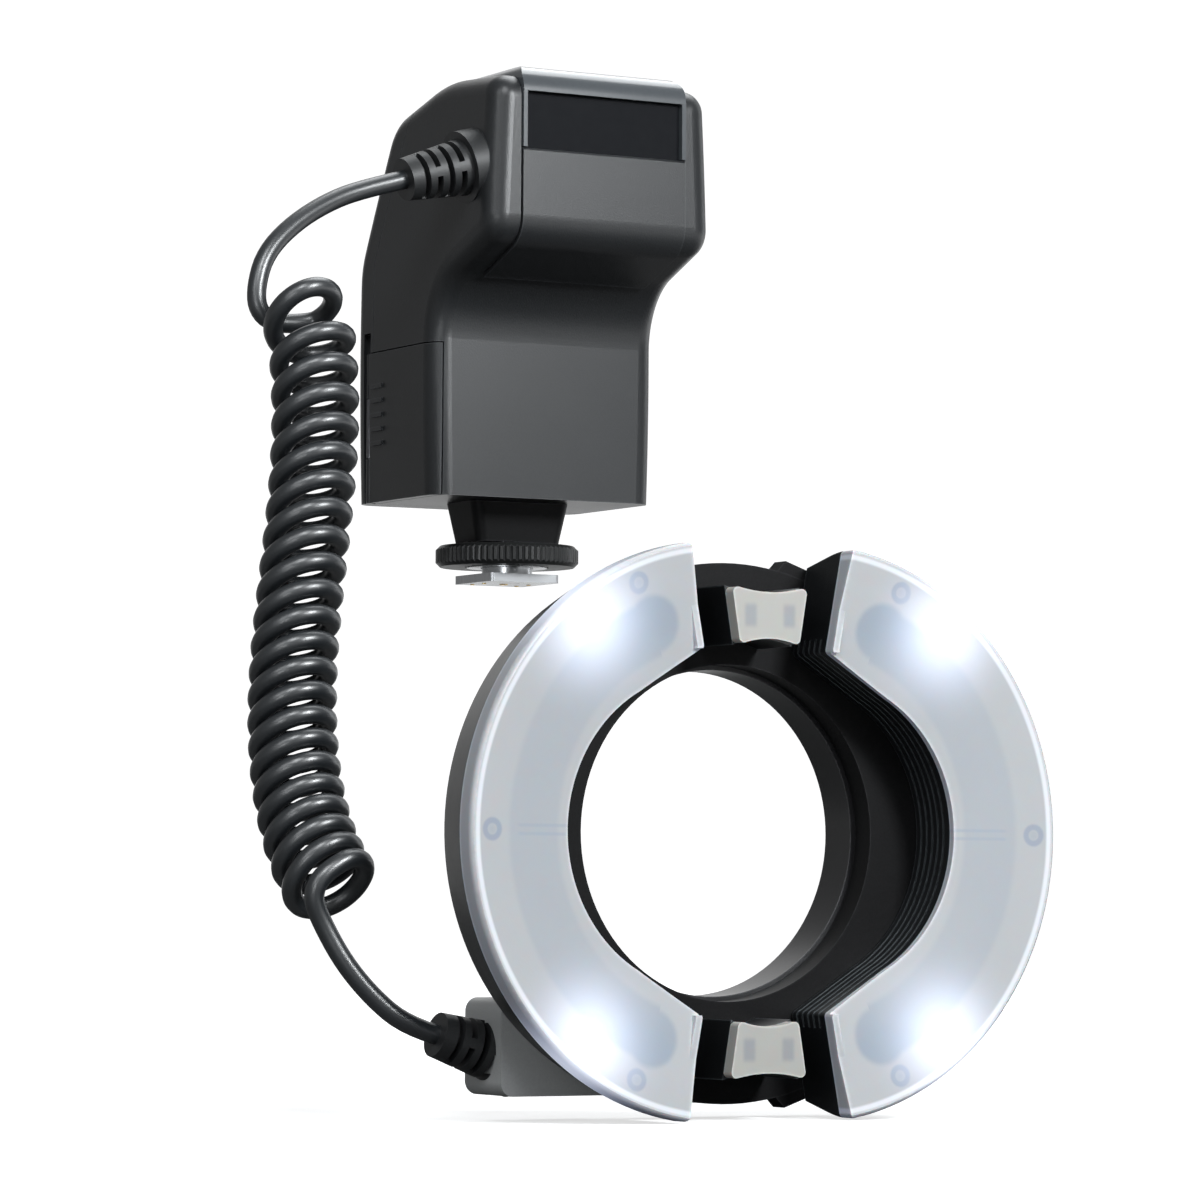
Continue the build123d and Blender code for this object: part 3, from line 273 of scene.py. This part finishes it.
def moulded(name, dark, light, rough, grain, depth, spread, wear_and_highlight_tone=None, coat=0.0, shine=0.5):
    """Moulded plastic or rubber: two close tones, a fine grain and softly uneven gloss.

    Grain is the size of its bumps and depth their height, in metres. Roughness runs from
    rough - spread to rough + spread. An edge tone, when given, lightens its edges: rubbed wear on
    some parts, a painted highlight on others.
    """
    material, tree, shader = plain_material(name)
    group = node(tree, "ShaderNodeGroup", node_tree=GRAIN)
    group.inputs["Grain Size"].default_value = grain
    group.inputs["Depth"].default_value = depth
    colour = blend_colours(tree, group.outputs["Tone"], dark, light)
    if wear_and_highlight_tone:
        edges = node(tree, "ShaderNodeGroup", node_tree=EDGE_WEAR_AND_HIGHLIGHT)
        colour = blend_colours(tree, edges.outputs["Mask"], colour, wear_and_highlight_tone)
    tree.links.new(colour, shader.inputs["Base Color"])
    gloss = node(
        tree,
        "ShaderNodeMapRange",
        {"Value": group.outputs["Sheen"], "To Min": rough - spread, "To Max": rough + spread},
    )
    tree.links.new(gloss.outputs[0], shader.inputs["Roughness"])
    tree.links.new(group.outputs["Normal"], shader.inputs["Normal"])
    shader.inputs["Specular IOR Level"].default_value = shine
    shader.inputs["Coat Weight"].default_value = coat
    shader.inputs["Coat Roughness"].default_value = 0.12
    return material


cord_rubber = moulded(
    "cord_rubber",
    dark=(0.006, 0.0075, 0.009),
    light=(0.012, 0.0145, 0.017),
    rough=0.36,
    grain=0.0005,
    depth=0.000006,
    spread=0.03,
    shine=1.0,
)
cord_data.materials.append(cord_rubber)


def dress(names, material):
    """Gives CAD nodes one material in place of their own."""
    for name in names:
        nodes[name].data.materials.clear()
        nodes[name].data.materials.append(material)


relief = moulded(
    "relief_rubber",
    dark=(0.007, 0.0075, 0.008),
    light=(0.012, 0.013, 0.014),
    rough=0.48,
    grain=0.0006,
    depth=0.000015,
    spread=0.05,
)
dress(["upper_strain_relief", "lower_strain_relief"], relief)

# Casing: two shells, the head's insert, the battery door and the flap over the sockets
# Dark grey plastic, injection moulded with a fine grain, its edges painted a little light as a
# painted highlight
# The shells meet behind the middle, the door slides on its leaf, the flap bends at its foot
casing = moulded(
    "casing_plastic",
    dark=(0.010, 0.0108, 0.0118),
    light=(0.018, 0.0192, 0.0206),
    rough=0.36,
    grain=0.00035,
    depth=0.00003,
    spread=0.04,
    wear_and_highlight_tone=(0.05, 0.053, 0.057),
    shine=0.42,
)
dress(["front_shell", "rear_shell", "battery_door", "head_fascia", "terminal_flap"], casing)

# Arched cover: the smooth strip over the top of the head, with the light running along it
# Polished grey plastic under a thin clear coat, clipped in between the shells
cover = moulded(
    "cover_plastic",
    dark=(0.045, 0.050, 0.055),
    light=(0.056, 0.062, 0.068),
    rough=0.26,
    grain=0.0009,
    depth=0.000006,
    spread=0.04,
    coat=0.5,
)
dress(["top_cover"], cover)

# Signal window: a dark glossy pane, set back in the head's insert
# Tinted plastic, polished in the mould; the display's body and the capacitor share its black
window = moulded(
    "window_plastic",
    dark=(0.006, 0.0065, 0.008),
    light=(0.009, 0.0095, 0.011),
    rough=0.09,
    grain=0.002,
    depth=0.000002,
    spread=0.02,
    shine=0.35,
)
dress(["signal_window", "display_module", "main_capacitor"], window)

# Label panel: a thin bare plate let into the slanted underside of the head
# Glossy black sheet, glued into its recess, its rim caught by the light
label = moulded(
    "label_plastic",
    dark=(0.002, 0.002, 0.0023),
    light=(0.003, 0.003, 0.0034),
    rough=0.16,
    grain=0.0006,
    depth=0.000008,
    spread=0.04,
    wear_and_highlight_tone=(0.10, 0.105, 0.11),
)
dress(["rating_plate"], label)

# Ring base, its rear cover, its rails, the foot's pedestal and the carriers inside
# Matt black filled nylon, moulded thick, because these parts take the screws and the load
black = moulded(
    "black_plastic",
    dark=(0.003, 0.003, 0.0033),
    light=(0.007, 0.007, 0.0075),
    rough=0.46,
    grain=0.0004,
    depth=0.00003,
    spread=0.06,
    wear_and_highlight_tone=(0.025, 0.025, 0.027),
    shine=0.12,
)
dress(["ring_base", "ring_rear_cover", "left_slide_rails", "right_slide_rails"], black)
dress(["foot_pedestal", "battery_magazine", "button_switches"], black)
dress(["dial_encoder", "terminal_block"], black)

# Lamp housings and focus blocks: the halves' dark trays, ribbed inside the bore
# Satin black plastic, moulded in one piece each, sliding on rails in the base; its edges and inner
# ribs painted lighter as a painted highlight
housing = moulded(
    "housing_plastic",
    dark=(0.004, 0.0044, 0.005),
    light=(0.008, 0.0088, 0.0096),
    rough=0.38,
    grain=0.0004,
    depth=0.00003,
    spread=0.06,
    wear_and_highlight_tone=(0.07, 0.08, 0.085),
    shine=0.30,
)
dress(["left_lamp_housing", "right_lamp_housing", "lamp_blocks"], housing)

# Cable boss: the block at the lower left of the ring that takes the lower relief
# Plastic, moulded apart from the base and screwed to it from behind, light grey partly as its own
# tone and partly as a painted highlight
boss = moulded(
    "boss_plastic_painted_highlight",
    dark=(0.30, 0.305, 0.305),
    light=(0.37, 0.375, 0.375),
    rough=0.34,
    grain=0.0004,
    depth=0.00002,
    spread=0.05,
)
dress(["cable_boss"], boss)

# Controls: the dial and three buttons on the rear, and the ring's two release tabs
# Smooth dark plastic, moulded, polished light on the edges that fingers touch
control = moulded(
    "control_plastic",
    dark=(0.010, 0.0105, 0.011),
    light=(0.020, 0.0205, 0.022),
    rough=0.33,
    grain=0.0005,
    depth=0.00001,
    spread=0.04,
    wear_and_highlight_tone=(0.08, 0.08, 0.084),
)
dress(["select_dial", "set_button", "power_button", "test_button"], control)
dress(["release_tab_left", "release_tab_right"], control)

# Lock wheel: the knurled wheel that clamps the foot
# Tough black nylon, moulded with its knurl, turning on the pedestal
wheel = moulded(
    "wheel_plastic",
    dark=(0.007, 0.0075, 0.0075),
    light=(0.012, 0.0125, 0.0125),
    rough=0.40,
    grain=0.0004,
    depth=0.00001,
    spread=0.05,
    wear_and_highlight_tone=(0.04, 0.04, 0.042),
    shine=0.30,
)
dress(["lock_wheel"], wheel)

# Adapter ring: turns in the ring's rear and is let go by the two tabs
# Aluminium, turned on a lathe and dyed black, bright where its edges rub
adapter = moulded(
    "adapter_finish",
    dark=(0.008, 0.008, 0.009),
    light=(0.015, 0.015, 0.016),
    rough=0.34,
    grain=0.0003,
    depth=0.00002,
    spread=0.05,
    wear_and_highlight_tone=(0.10, 0.10, 0.105),
)
dress(["adapter_ring"], adapter)


# Foot, clamp plate and lock pin: the metal that enters the shoe
# Stamped steel, nickel plated, brushed along its length, riveted to the pedestal
def metal(name, dark, light, rough, brush):
    """Metal with a noise stretched by brush into fine lines, in tone, gloss and height."""
    material, tree, shader = plain_material(name)
    place = tree.nodes.new("ShaderNodeTexCoord").outputs["Object"]
    stretched = node(tree, "ShaderNodeMapping", {"Vector": place, "Scale": brush})
    lines = node(
        tree, "ShaderNodeTexNoise", {"Vector": stretched.outputs[0], "Scale": 1.0, "Detail": 3.0}
    )
    tree.links.new(blend_colours(tree, lines.outputs[0], dark, light), shader.inputs["Base Color"])
    gloss = node(
        tree,
        "ShaderNodeMapRange",
        {"Value": lines.outputs[0], "To Min": rough - 0.08, "To Max": rough + 0.1},
    )
    tree.links.new(gloss.outputs[0], shader.inputs["Roughness"])
    bump = node(
        tree, "ShaderNodeBump", {"Height": lines.outputs[0], "Distance": 0.00002, "Strength": 0.6}
    )
    tree.links.new(bump.outputs[0], shader.inputs["Normal"])
    shader.inputs["Metallic"].default_value = 1.0
    return material


foot_steel = metal(
    "foot_steel",
    dark=(0.42, 0.43, 0.44),
    light=(0.62, 0.63, 0.65),
    rough=0.28,
    brush=(60, 1500, 60),
)
dress(["foot_plate", "clamp_plate", "lock_pin"], foot_steel)

# Screws of the ring and the lamps, and the battery door's hinge
# Dark oiled steel, rolled and turned, driven into the plastic or pinned through it
screw_steel = metal(
    "screw_steel",
    dark=(0.10, 0.10, 0.11),
    light=(0.20, 0.20, 0.21),
    rough=0.32,
    brush=(800, 800, 800),
)
dress(["cover_screws", "left_lamp_screws", "right_lamp_screws"], screw_steel)
dress(["door_hinge_leaf", "door_hinge_pin"], screw_steel)

# Battery springs and the tubes of the side sockets
# Thin nickel-plated steel, stamped and pressed into their carriers
spring_steel = metal(
    "spring_steel",
    dark=(0.35, 0.36, 0.37),
    light=(0.58, 0.59, 0.60),
    rough=0.30,
    brush=(900, 900, 60),
)
dress(["battery_contacts", "terminal_sockets"], spring_steel)

# Shoe contacts: small round pins under the foot
# Gold-plated brass, turned, each on a spring
gold = metal(
    "contact_gold",
    dark=(0.62, 0.43, 0.16),
    light=(0.83, 0.62, 0.28),
    rough=0.22,
    brush=(900, 900, 900),
)
dress(["shoe_contacts"], gold)

# Reflectors: curved trays behind the flash tubes
# Polished aluminium sheet, pressed, held in the housings by their ends
silver = metal(
    "reflector_silver",
    dark=(0.62, 0.64, 0.68),
    light=(0.80, 0.82, 0.85),
    rough=0.20,
    brush=(200, 900, 200),
)
dress(["left_reflector", "right_reflector"], silver)

# Main board: the circuit board behind the buttons
# Glass fibre laminate under green varnish, held by bosses in the rear shell
board = moulded(
    "board_laminate",
    dark=(0.012, 0.06, 0.025),
    light=(0.02, 0.09, 0.04),
    rough=0.35,
    grain=0.0012,
    depth=0.00001,
    spread=0.08,
)
dress(["main_board"], board)

# Battery cells: four round cells lying across the casing
# Steel cans in a shrunk plastic jacket, with a soft shine
jacket = moulded(
    "cell_jacket",
    dark=(0.22, 0.22, 0.24),
    light=(0.30, 0.30, 0.32),
    rough=0.22,
    grain=0.002,
    depth=0.000004,
    spread=0.05,
    coat=0.4,
)
dress(["battery_cells"], jacket)


# Display pane, flash tubes, and the small lenses of the modelling and focus lamps
# The pane is smoky acrylic, the tubes drawn glass, the lenses clear resin cast over a chip
def clear_material(name, colour, rough, transmission):
    """Clear or smoky glass, barely uneven."""
    material, tree, shader = plain_material(name)
    group = node(tree, "ShaderNodeGroup", node_tree=GRAIN)
    group.inputs["Grain Size"].default_value = 0.003
    group.inputs["Depth"].default_value = 0.000002
    tone = blend_colours(tree, group.outputs["Sheen"], colour, tuple(0.8 * c for c in colour))
    tree.links.new(tone, shader.inputs["Base Color"])
    tree.links.new(group.outputs["Normal"], shader.inputs["Normal"])
    shader.inputs["Roughness"].default_value = rough
    shader.inputs["Transmission Weight"].default_value = transmission
    shader.inputs["IOR"].default_value = 1.46
    return material


pane = clear_material("display_glass", (0.10, 0.12, 0.11), rough=0.06, transmission=0.5)
dress(["display_window"], pane)
tube_glass = clear_material("tube_glass", (0.8, 0.85, 0.95), rough=0.03, transmission=0.9)
dress(["left_flash_tube", "right_flash_tube"], tube_glass)
lamp_lens = clear_material("led_lens", (0.85, 0.88, 0.95), rough=0.10, transmission=0.6)
dress(["left_modelling_leds", "right_modelling_leds", "focus_lamps"], lamp_lens)

# Frosted diffusers: the dished white fronts of the lamp halves, their glow from behind painted on
# as emission
# Opal plastic, moulded, screwed to the trays, with chamber, screws and ribs showing through as
# painted shade, its edges and rim given a painted highlight
# Marks are placed in metres on a half's face, mirrored left to right and top to bottom
RING_CENTRE_Z, HALF_OUT = -0.060, 0.011
CHAMBER_RADIUS, CHAMBER_TURN = 0.0468, math.radians(68.0)
CHAMBER_END = (0.0179, 0.0442)
CHAMBER_EDGE, CHAMBER_FADE = 0.0054, 0.0072
HOT_SPOT, HOT_REACH = (0.0335, 0.0445), 0.030
MID_SCREW, END_SCREW, SCREW_RING = (0.0575, 0.0), (0.0223, 0.0530), 0.0018
RIB_HEIGHT, RIB_INNER, RIB_OUTER = 0.0009, 0.0500, 0.0515
RIM_RADIUS = 0.0612
FROST_DARK, FROST_LIGHT = (0.315, 0.321, 0.325), (0.35, 0.356, 0.36)
# Painted shade of the chamber, screws and ribs seen through the face
CHAMBER_SHADE_THROUGH, SCREW_SHADE_THROUGH = (0.205, 0.245, 0.285), (0.17, 0.21, 0.28)
RIB_SHADE_THROUGH = (0.24, 0.28, 0.33)
# Painted highlights on the edges and rim, and a painted glow of emission at the hot spot, the edges
# and the whole face
FROST_EDGE_HIGHLIGHT, FROST_RIM_HIGHLIGHT = (0.86, 0.87, 0.86), (0.86, 0.87, 0.88)
GLOW_BLUE, GLOW_WHITE = (0.42, 0.52, 1.0), (0.80, 0.86, 1.0)
GLOW_FALL, GLOW_POWER, EDGE_POWER, FACE_POWER = 2.9, 0.9, 0.05, 0.03


def fade(tree, value, low, high):
    """One where value is under low, falling smoothly to zero at high."""
    new = node(
        tree,
        "ShaderNodeMapRange",
        {"Value": value, "From Min": low, "From Max": high, "To Min": 1.0, "To Max": 0.0},
        interpolation_type="SMOOTHSTEP",
    )
    return new.outputs[0]


def diffuser_marks():
    """Masks over a lamp half: the crescent chamber, the screws and the ribs for painted shade, the
    glow for painted emission, and the rim for a painted highlight.

    The chamber is a band round an arc with round ends, the ribs are two lines level with the
    middle, and the rest are fades by distance from a place or a circle.
    """
    tree, start, end = new_group(
        "diffuser_marks",
        [("Chamber Radius", "NodeSocketFloat", CHAMBER_RADIUS)],
        [(label, "NodeSocketFloat") for label in ("Crescent", "Glow", "Screws", "Ribs", "Rim")],
    )
    place = tree.nodes.new("ShaderNodeTexCoord").outputs["Object"]
    parts = node(tree, "ShaderNodeSeparateXYZ", {0: place})
    across = maths(tree, "SUBTRACT", maths(tree, "ABSOLUTE", parts.outputs[0]), HALF_OUT)
    height = maths(tree, "ABSOLUTE", maths(tree, "SUBTRACT", parts.outputs[2], RING_CENTRE_Z))

    def distance(x, z):
        """How far a point of the face is from one place on it."""
        dx = maths(tree, "SUBTRACT", across, x)
        dz = maths(tree, "SUBTRACT", height, z)
        dx_squared, dz_squared = maths(tree, "MULTIPLY", dx, dx), maths(tree, "MULTIPLY", dz, dz)
        return maths(tree, "SQRT", maths(tree, "ADD", dx_squared, dz_squared))

    def off(value, target):
        """How far a value is from a target."""
        return maths(tree, "ABSOLUTE", maths(tree, "SUBTRACT", value, target))

    reach = distance(0.0, 0.0)
    angle = maths(tree, "ARCTAN2", height, across)
    past_arc = maths(tree, "SUBTRACT", 1.0, maths(tree, "LESS_THAN", angle, CHAMBER_TURN))
    from_arc = maths(tree, "ADD", off(reach, start.outputs["Chamber Radius"]), past_arc)
    nearest = maths(tree, "MINIMUM", from_arc, distance(*CHAMBER_END))
    chamber = fade(tree, nearest, CHAMBER_EDGE, CHAMBER_FADE)
    ends = maths(tree, "SUBTRACT", 1.0, fade(tree, height, 0.030, 0.047))
    ends = maths(tree, "ADD", 0.35, maths(tree, "MULTIPLY", ends, 0.65))
    tree.links.new(maths(tree, "MULTIPLY", chamber, ends), end.inputs["Crescent"])
    tree.links.new(fade(tree, distance(*HOT_SPOT), 0.0, HOT_REACH), end.inputs["Glow"])
    screw = maths(tree, "MINIMUM", distance(*MID_SCREW), distance(*END_SCREW))
    ring = fade(tree, off(screw, SCREW_RING), 0.0003, 0.0010)
    dot = maths(tree, "MULTIPLY", fade(tree, screw, 0.0, 0.0024), 0.45)
    tree.links.new(maths(tree, "MAXIMUM", ring, dot), end.inputs["Screws"])
    rib = fade(tree, off(height, RIB_HEIGHT), 0.0001, 0.0006)
    rib = maths(tree, "MULTIPLY", rib, fade(tree, reach, RIB_INNER, RIB_OUTER))
    tree.links.new(rib, end.inputs["Ribs"])
    tree.links.new(fade(tree, off(reach, RIM_RADIUS), 0.0002, 0.0009), end.inputs["Rim"])
    return tree


frosted, tree, shader = plain_material("frosted_diffuser")
marks = node(tree, "ShaderNodeGroup", node_tree=diffuser_marks())
grain = node(tree, "ShaderNodeGroup", node_tree=GRAIN)
grain.inputs["Grain Size"].default_value = 0.0005
grain.inputs["Depth"].default_value = 0.00001
edges = node(tree, "ShaderNodeGroup", node_tree=EDGE_WEAR_AND_HIGHLIGHT)
edges.inputs["Width"].default_value = 0.0016
colour = blend_colours(tree, grain.outputs["Sheen"], FROST_DARK, FROST_LIGHT)
# Painted shade of the chamber, screws and ribs, and painted highlights on the edges and the rim
for mask, strength, tone in (
    (marks.outputs["Crescent"], 0.85, CHAMBER_SHADE_THROUGH),
    (marks.outputs["Screws"], 0.60, SCREW_SHADE_THROUGH),
    (marks.outputs["Ribs"], 0.55, RIB_SHADE_THROUGH),
    (edges.outputs["Mask"], 0.45, FROST_EDGE_HIGHLIGHT),
    (marks.outputs["Rim"], 0.4, FROST_RIM_HIGHLIGHT),
):
    colour = blend_colours(tree, maths(tree, "MULTIPLY", mask, strength), colour, tone)
tree.links.new(colour, shader.inputs["Base Color"])
tree.links.new(grain.outputs["Normal"], shader.inputs["Normal"])
# Painted glow: emission brightest at the hot spot, a little on the edges and rim, and faint over
# the whole face
tint = blend_colours(tree, marks.outputs["Glow"], GLOW_BLUE, GLOW_WHITE)
tree.links.new(tint, shader.inputs["Emission Color"])
power = maths(tree, "POWER", marks.outputs["Glow"], GLOW_FALL)
power = maths(tree, "MULTIPLY", power, GLOW_POWER)
rimmed = maths(tree, "MAXIMUM", edges.outputs["Mask"], marks.outputs["Rim"])
power = maths(tree, "ADD", power, maths(tree, "MULTIPLY", rimmed, EDGE_POWER))
tree.links.new(maths(tree, "ADD", power, FACE_POWER), shader.inputs["Emission Strength"])
shader.inputs["Roughness"].default_value = 0.38
shader.inputs["Subsurface Weight"].default_value = 0.25
shader.inputs["Subsurface Scale"].default_value = 0.002
dress(["left_diffuser", "right_diffuser"], frosted)

# Focus windows: small frosted panes at the top and the bottom, between the halves
# Warm white plastic, moulded, clipped onto the focus blocks, two lamps dimly showing through as
# painted shade, its edges given a painted highlight
FOCUS_LAMP_X, FOCUS_LAMP_Z = 0.0049, 0.047
PANE_DARK, PANE_LIGHT = (0.31, 0.306, 0.288), (0.345, 0.340, 0.320)
# Painted shade of the two lamps seen through, and a painted highlight for the pane's edges
LAMP_SHADE_THROUGH, PANE_RIM_HIGHLIGHT = (0.19, 0.21, 0.24), (0.72, 0.72, 0.70)
frosted_window, tree, shader = plain_material("frosted_window")
grain = node(tree, "ShaderNodeGroup", node_tree=GRAIN)
grain.inputs["Grain Size"].default_value = 0.0005
grain.inputs["Depth"].default_value = 0.00001
place = tree.nodes.new("ShaderNodeTexCoord").outputs["Object"]
parts = node(tree, "ShaderNodeSeparateXYZ", {0: place})
across = maths(tree, "SUBTRACT", maths(tree, "ABSOLUTE", parts.outputs[0]), FOCUS_LAMP_X)
height = maths(tree, "ABSOLUTE", maths(tree, "SUBTRACT", parts.outputs[2], RING_CENTRE_Z))
height = maths(tree, "SUBTRACT", height, FOCUS_LAMP_Z)
lamp_width = fade(tree, maths(tree, "ABSOLUTE", across), 0.0008, 0.0021)
lamp_height = fade(tree, maths(tree, "ABSOLUTE", height), 0.0016, 0.0032)
lamp = maths(tree, "MULTIPLY", lamp_width, lamp_height)
colour = blend_colours(tree, grain.outputs["Sheen"], PANE_DARK, PANE_LIGHT)
colour = blend_colours(tree, maths(tree, "MULTIPLY", lamp, 0.6), colour, LAMP_SHADE_THROUGH)
edges = node(tree, "ShaderNodeGroup", node_tree=EDGE_WEAR_AND_HIGHLIGHT)
edges.inputs["Width"].default_value = 0.0009
# Painted highlight along the pane's edges
edge_highlight_mask = maths(tree, "MULTIPLY", edges.outputs["Mask"], 0.6)
colour = blend_colours(tree, edge_highlight_mask, colour, PANE_RIM_HIGHLIGHT)
tree.links.new(colour, shader.inputs["Base Color"])
tree.links.new(grain.outputs["Normal"], shader.inputs["Normal"])
shader.inputs["Roughness"].default_value = 0.35
shader.inputs["Subsurface Weight"].default_value = 0.2
shader.inputs["Subsurface Scale"].default_value = 0.002
dress(["focus_windows"], frosted_window)

# Floor: a pale sheet that bends up into a wall behind the object, so no horizon shows
# Looked at straight or through glass it is white, dimmed round the object by a painted shadow, but
# it gives the object little light
# Glossy parts mirror it mostly on the right side, and only away from the object
FLOOR_GAP, BEND, BEND_STEPS = 0.0005, 1.2, 16
HALF_FLOOR, FLOOR_FRONT, WALL_Y, WALL_TOP = 7.0, -5.0, 4.0, 7.0
FLOOR_LIT, FLOOR_SEEN = (0.12, 0.12, 0.12), (0.60, 0.60, 0.60)
floor_z = cad_box[0][2] - FLOOR_GAP
turn = np.linspace(0.0, math.pi / 2, BEND_STEPS + 1)
profile_y = np.hstack((FLOOR_FRONT, WALL_Y - BEND + BEND * np.sin(turn), WALL_Y))
profile_z = np.hstack((floor_z, floor_z + BEND - BEND * np.cos(turn), WALL_TOP))
corners = np.empty((len(profile_y), 2, 3))
corners[:, :, 0] = (-HALF_FLOOR, HALF_FLOOR)
corners[:, :, 1] = profile_y[:, None]
corners[:, :, 2] = profile_z[:, None]
faces = 2 * np.arange(len(profile_y) - 1)[:, None] + np.array((0, 1, 3, 2))
floor_mesh = bpy.data.meshes.new("floor")
floor_mesh.from_pydata(corners.reshape(-1, 3).tolist(), [], faces.tolist())
floor_mesh.polygons.foreach_set("use_smooth", [True] * len(faces))
floor = bpy.data.objects.new("floor", floor_mesh)
scene.collection.objects.link(floor)
pale, tree, shader = plain_material("pale_floor")
path = tree.nodes.new("ShaderNodeLightPath")
place = tree.nodes.new("ShaderNodeTexCoord").outputs["Object"]
away = node(tree, "ShaderNodeVectorMath", {0: place}, operation="LENGTH").outputs["Value"]
sideways = node(tree, "ShaderNodeSeparateXYZ", {0: place}).outputs[0]
closed_side = maths(tree, "MULTIPLY", fade(tree, sideways, -0.6, 0.6), 0.78)
open_side = maths(tree, "SUBTRACT", 1.0, closed_side)
far_off = maths(tree, "SUBTRACT", 1.0, fade(tree, away, 0.25, 0.9))
shiny = maths(tree, "MULTIPLY", open_side, far_off)
shiny = maths(tree, "MULTIPLY", path.outputs["Is Glossy Ray"], shiny)
seen = maths(tree, "MAXIMUM", path.outputs["Is Camera Ray"], shiny)
seen = maths(tree, "MAXIMUM", seen, path.outputs["Is Transmission Ray"])
floor_tone = blend_colours(tree, seen, FLOOR_LIT, FLOOR_SEEN)
tree.links.new(floor_tone, shader.inputs["Base Color"])
# Painted shadow: the floor's emission dims by up to 0.35 near the object
shadow = maths(tree, "MULTIPLY", fade(tree, away, 0.12, 0.42), 0.35)
lift = maths(tree, "SUBTRACT", 1.0, shadow)
tree.links.new(maths(tree, "MULTIPLY", seen, lift), shader.inputs["Emission Strength"])
shader.inputs["Roughness"].default_value = 0.95
shader.inputs["Specular IOR Level"].default_value = 0.0
shader.inputs["Emission Color"].default_value = (1.0, 1.0, 1.0, 1.0)
floor_mesh.materials.append(pale)

# Studio air: white where it is looked at, dim as a source of light
AIR_TONE = (0.95, 0.98, 1.0)
AIR_DIM, AIR_SEEN, AIR_SHINE = 0.16, 0.90, 0.12
world = bpy.data.worlds.new("studio")
scene.world = world
world.use_nodes = True
tree = world.node_tree
path = tree.nodes.new("ShaderNodeLightPath")
seen = maths(tree, "MAXIMUM", path.outputs["Is Camera Ray"], path.outputs["Is Transmission Ray"])
shiny = maths(tree, "MULTIPLY", path.outputs["Is Glossy Ray"], AIR_SHINE)
seen = maths(tree, "MAXIMUM", seen, shiny)
strength = maths(tree, "ADD", maths(tree, "MULTIPLY", seen, AIR_SEEN), AIR_DIM)
background = tree.nodes["Background"]
background.inputs["Color"].default_value = (*AIR_TONE, 1.0)
tree.links.new(strength, background.inputs["Strength"])


# Lights: six soft boxes, sized and placed in metres, powers in watts
# The key is small and near, out of the signal window's mirror direction
def softbox(name, place, target, width, height, power):
    """A rectangular soft light that faces a target."""
    light = bpy.data.lights.new(name, "AREA")
    light.shape = "RECTANGLE"
    light.size = width
    light.size_y = height
    light.energy = power
    light.color = AIR_TONE
    box = bpy.data.objects.new(name, light)
    box.location = place
    box.rotation_euler = (Vector(target) - Vector(place)).to_track_quat("-Z", "Y").to_euler()
    scene.collection.objects.link(box)


softbox("key", (0.19, -0.80, 0.33), (0, 0, 0.03), width=0.18, height=0.22, power=7.9)
softbox("left_strip", (-1.1, -0.7, 0.6), (-0.06, -0.05, 0.02), width=0.3, height=0.7, power=3.5)
softbox("high_left", (-0.5, -0.95, 0.85), (-0.06, -0.05, 0.0), width=0.3, height=0.5, power=8.5)
softbox("low_left", (-0.75, -0.85, -0.02), (-0.05, -0.10, -0.11), width=0.25, height=0.2, power=1.6)
softbox("right_strip", (1.4, 0.1, 0.4), (0, 0, 0.03), width=0.3, height=1.3, power=3.0)
softbox("top", (0.5, 0.3, 1.2), (0, 0, 0.05), width=0.9, height=0.9, power=12.0)
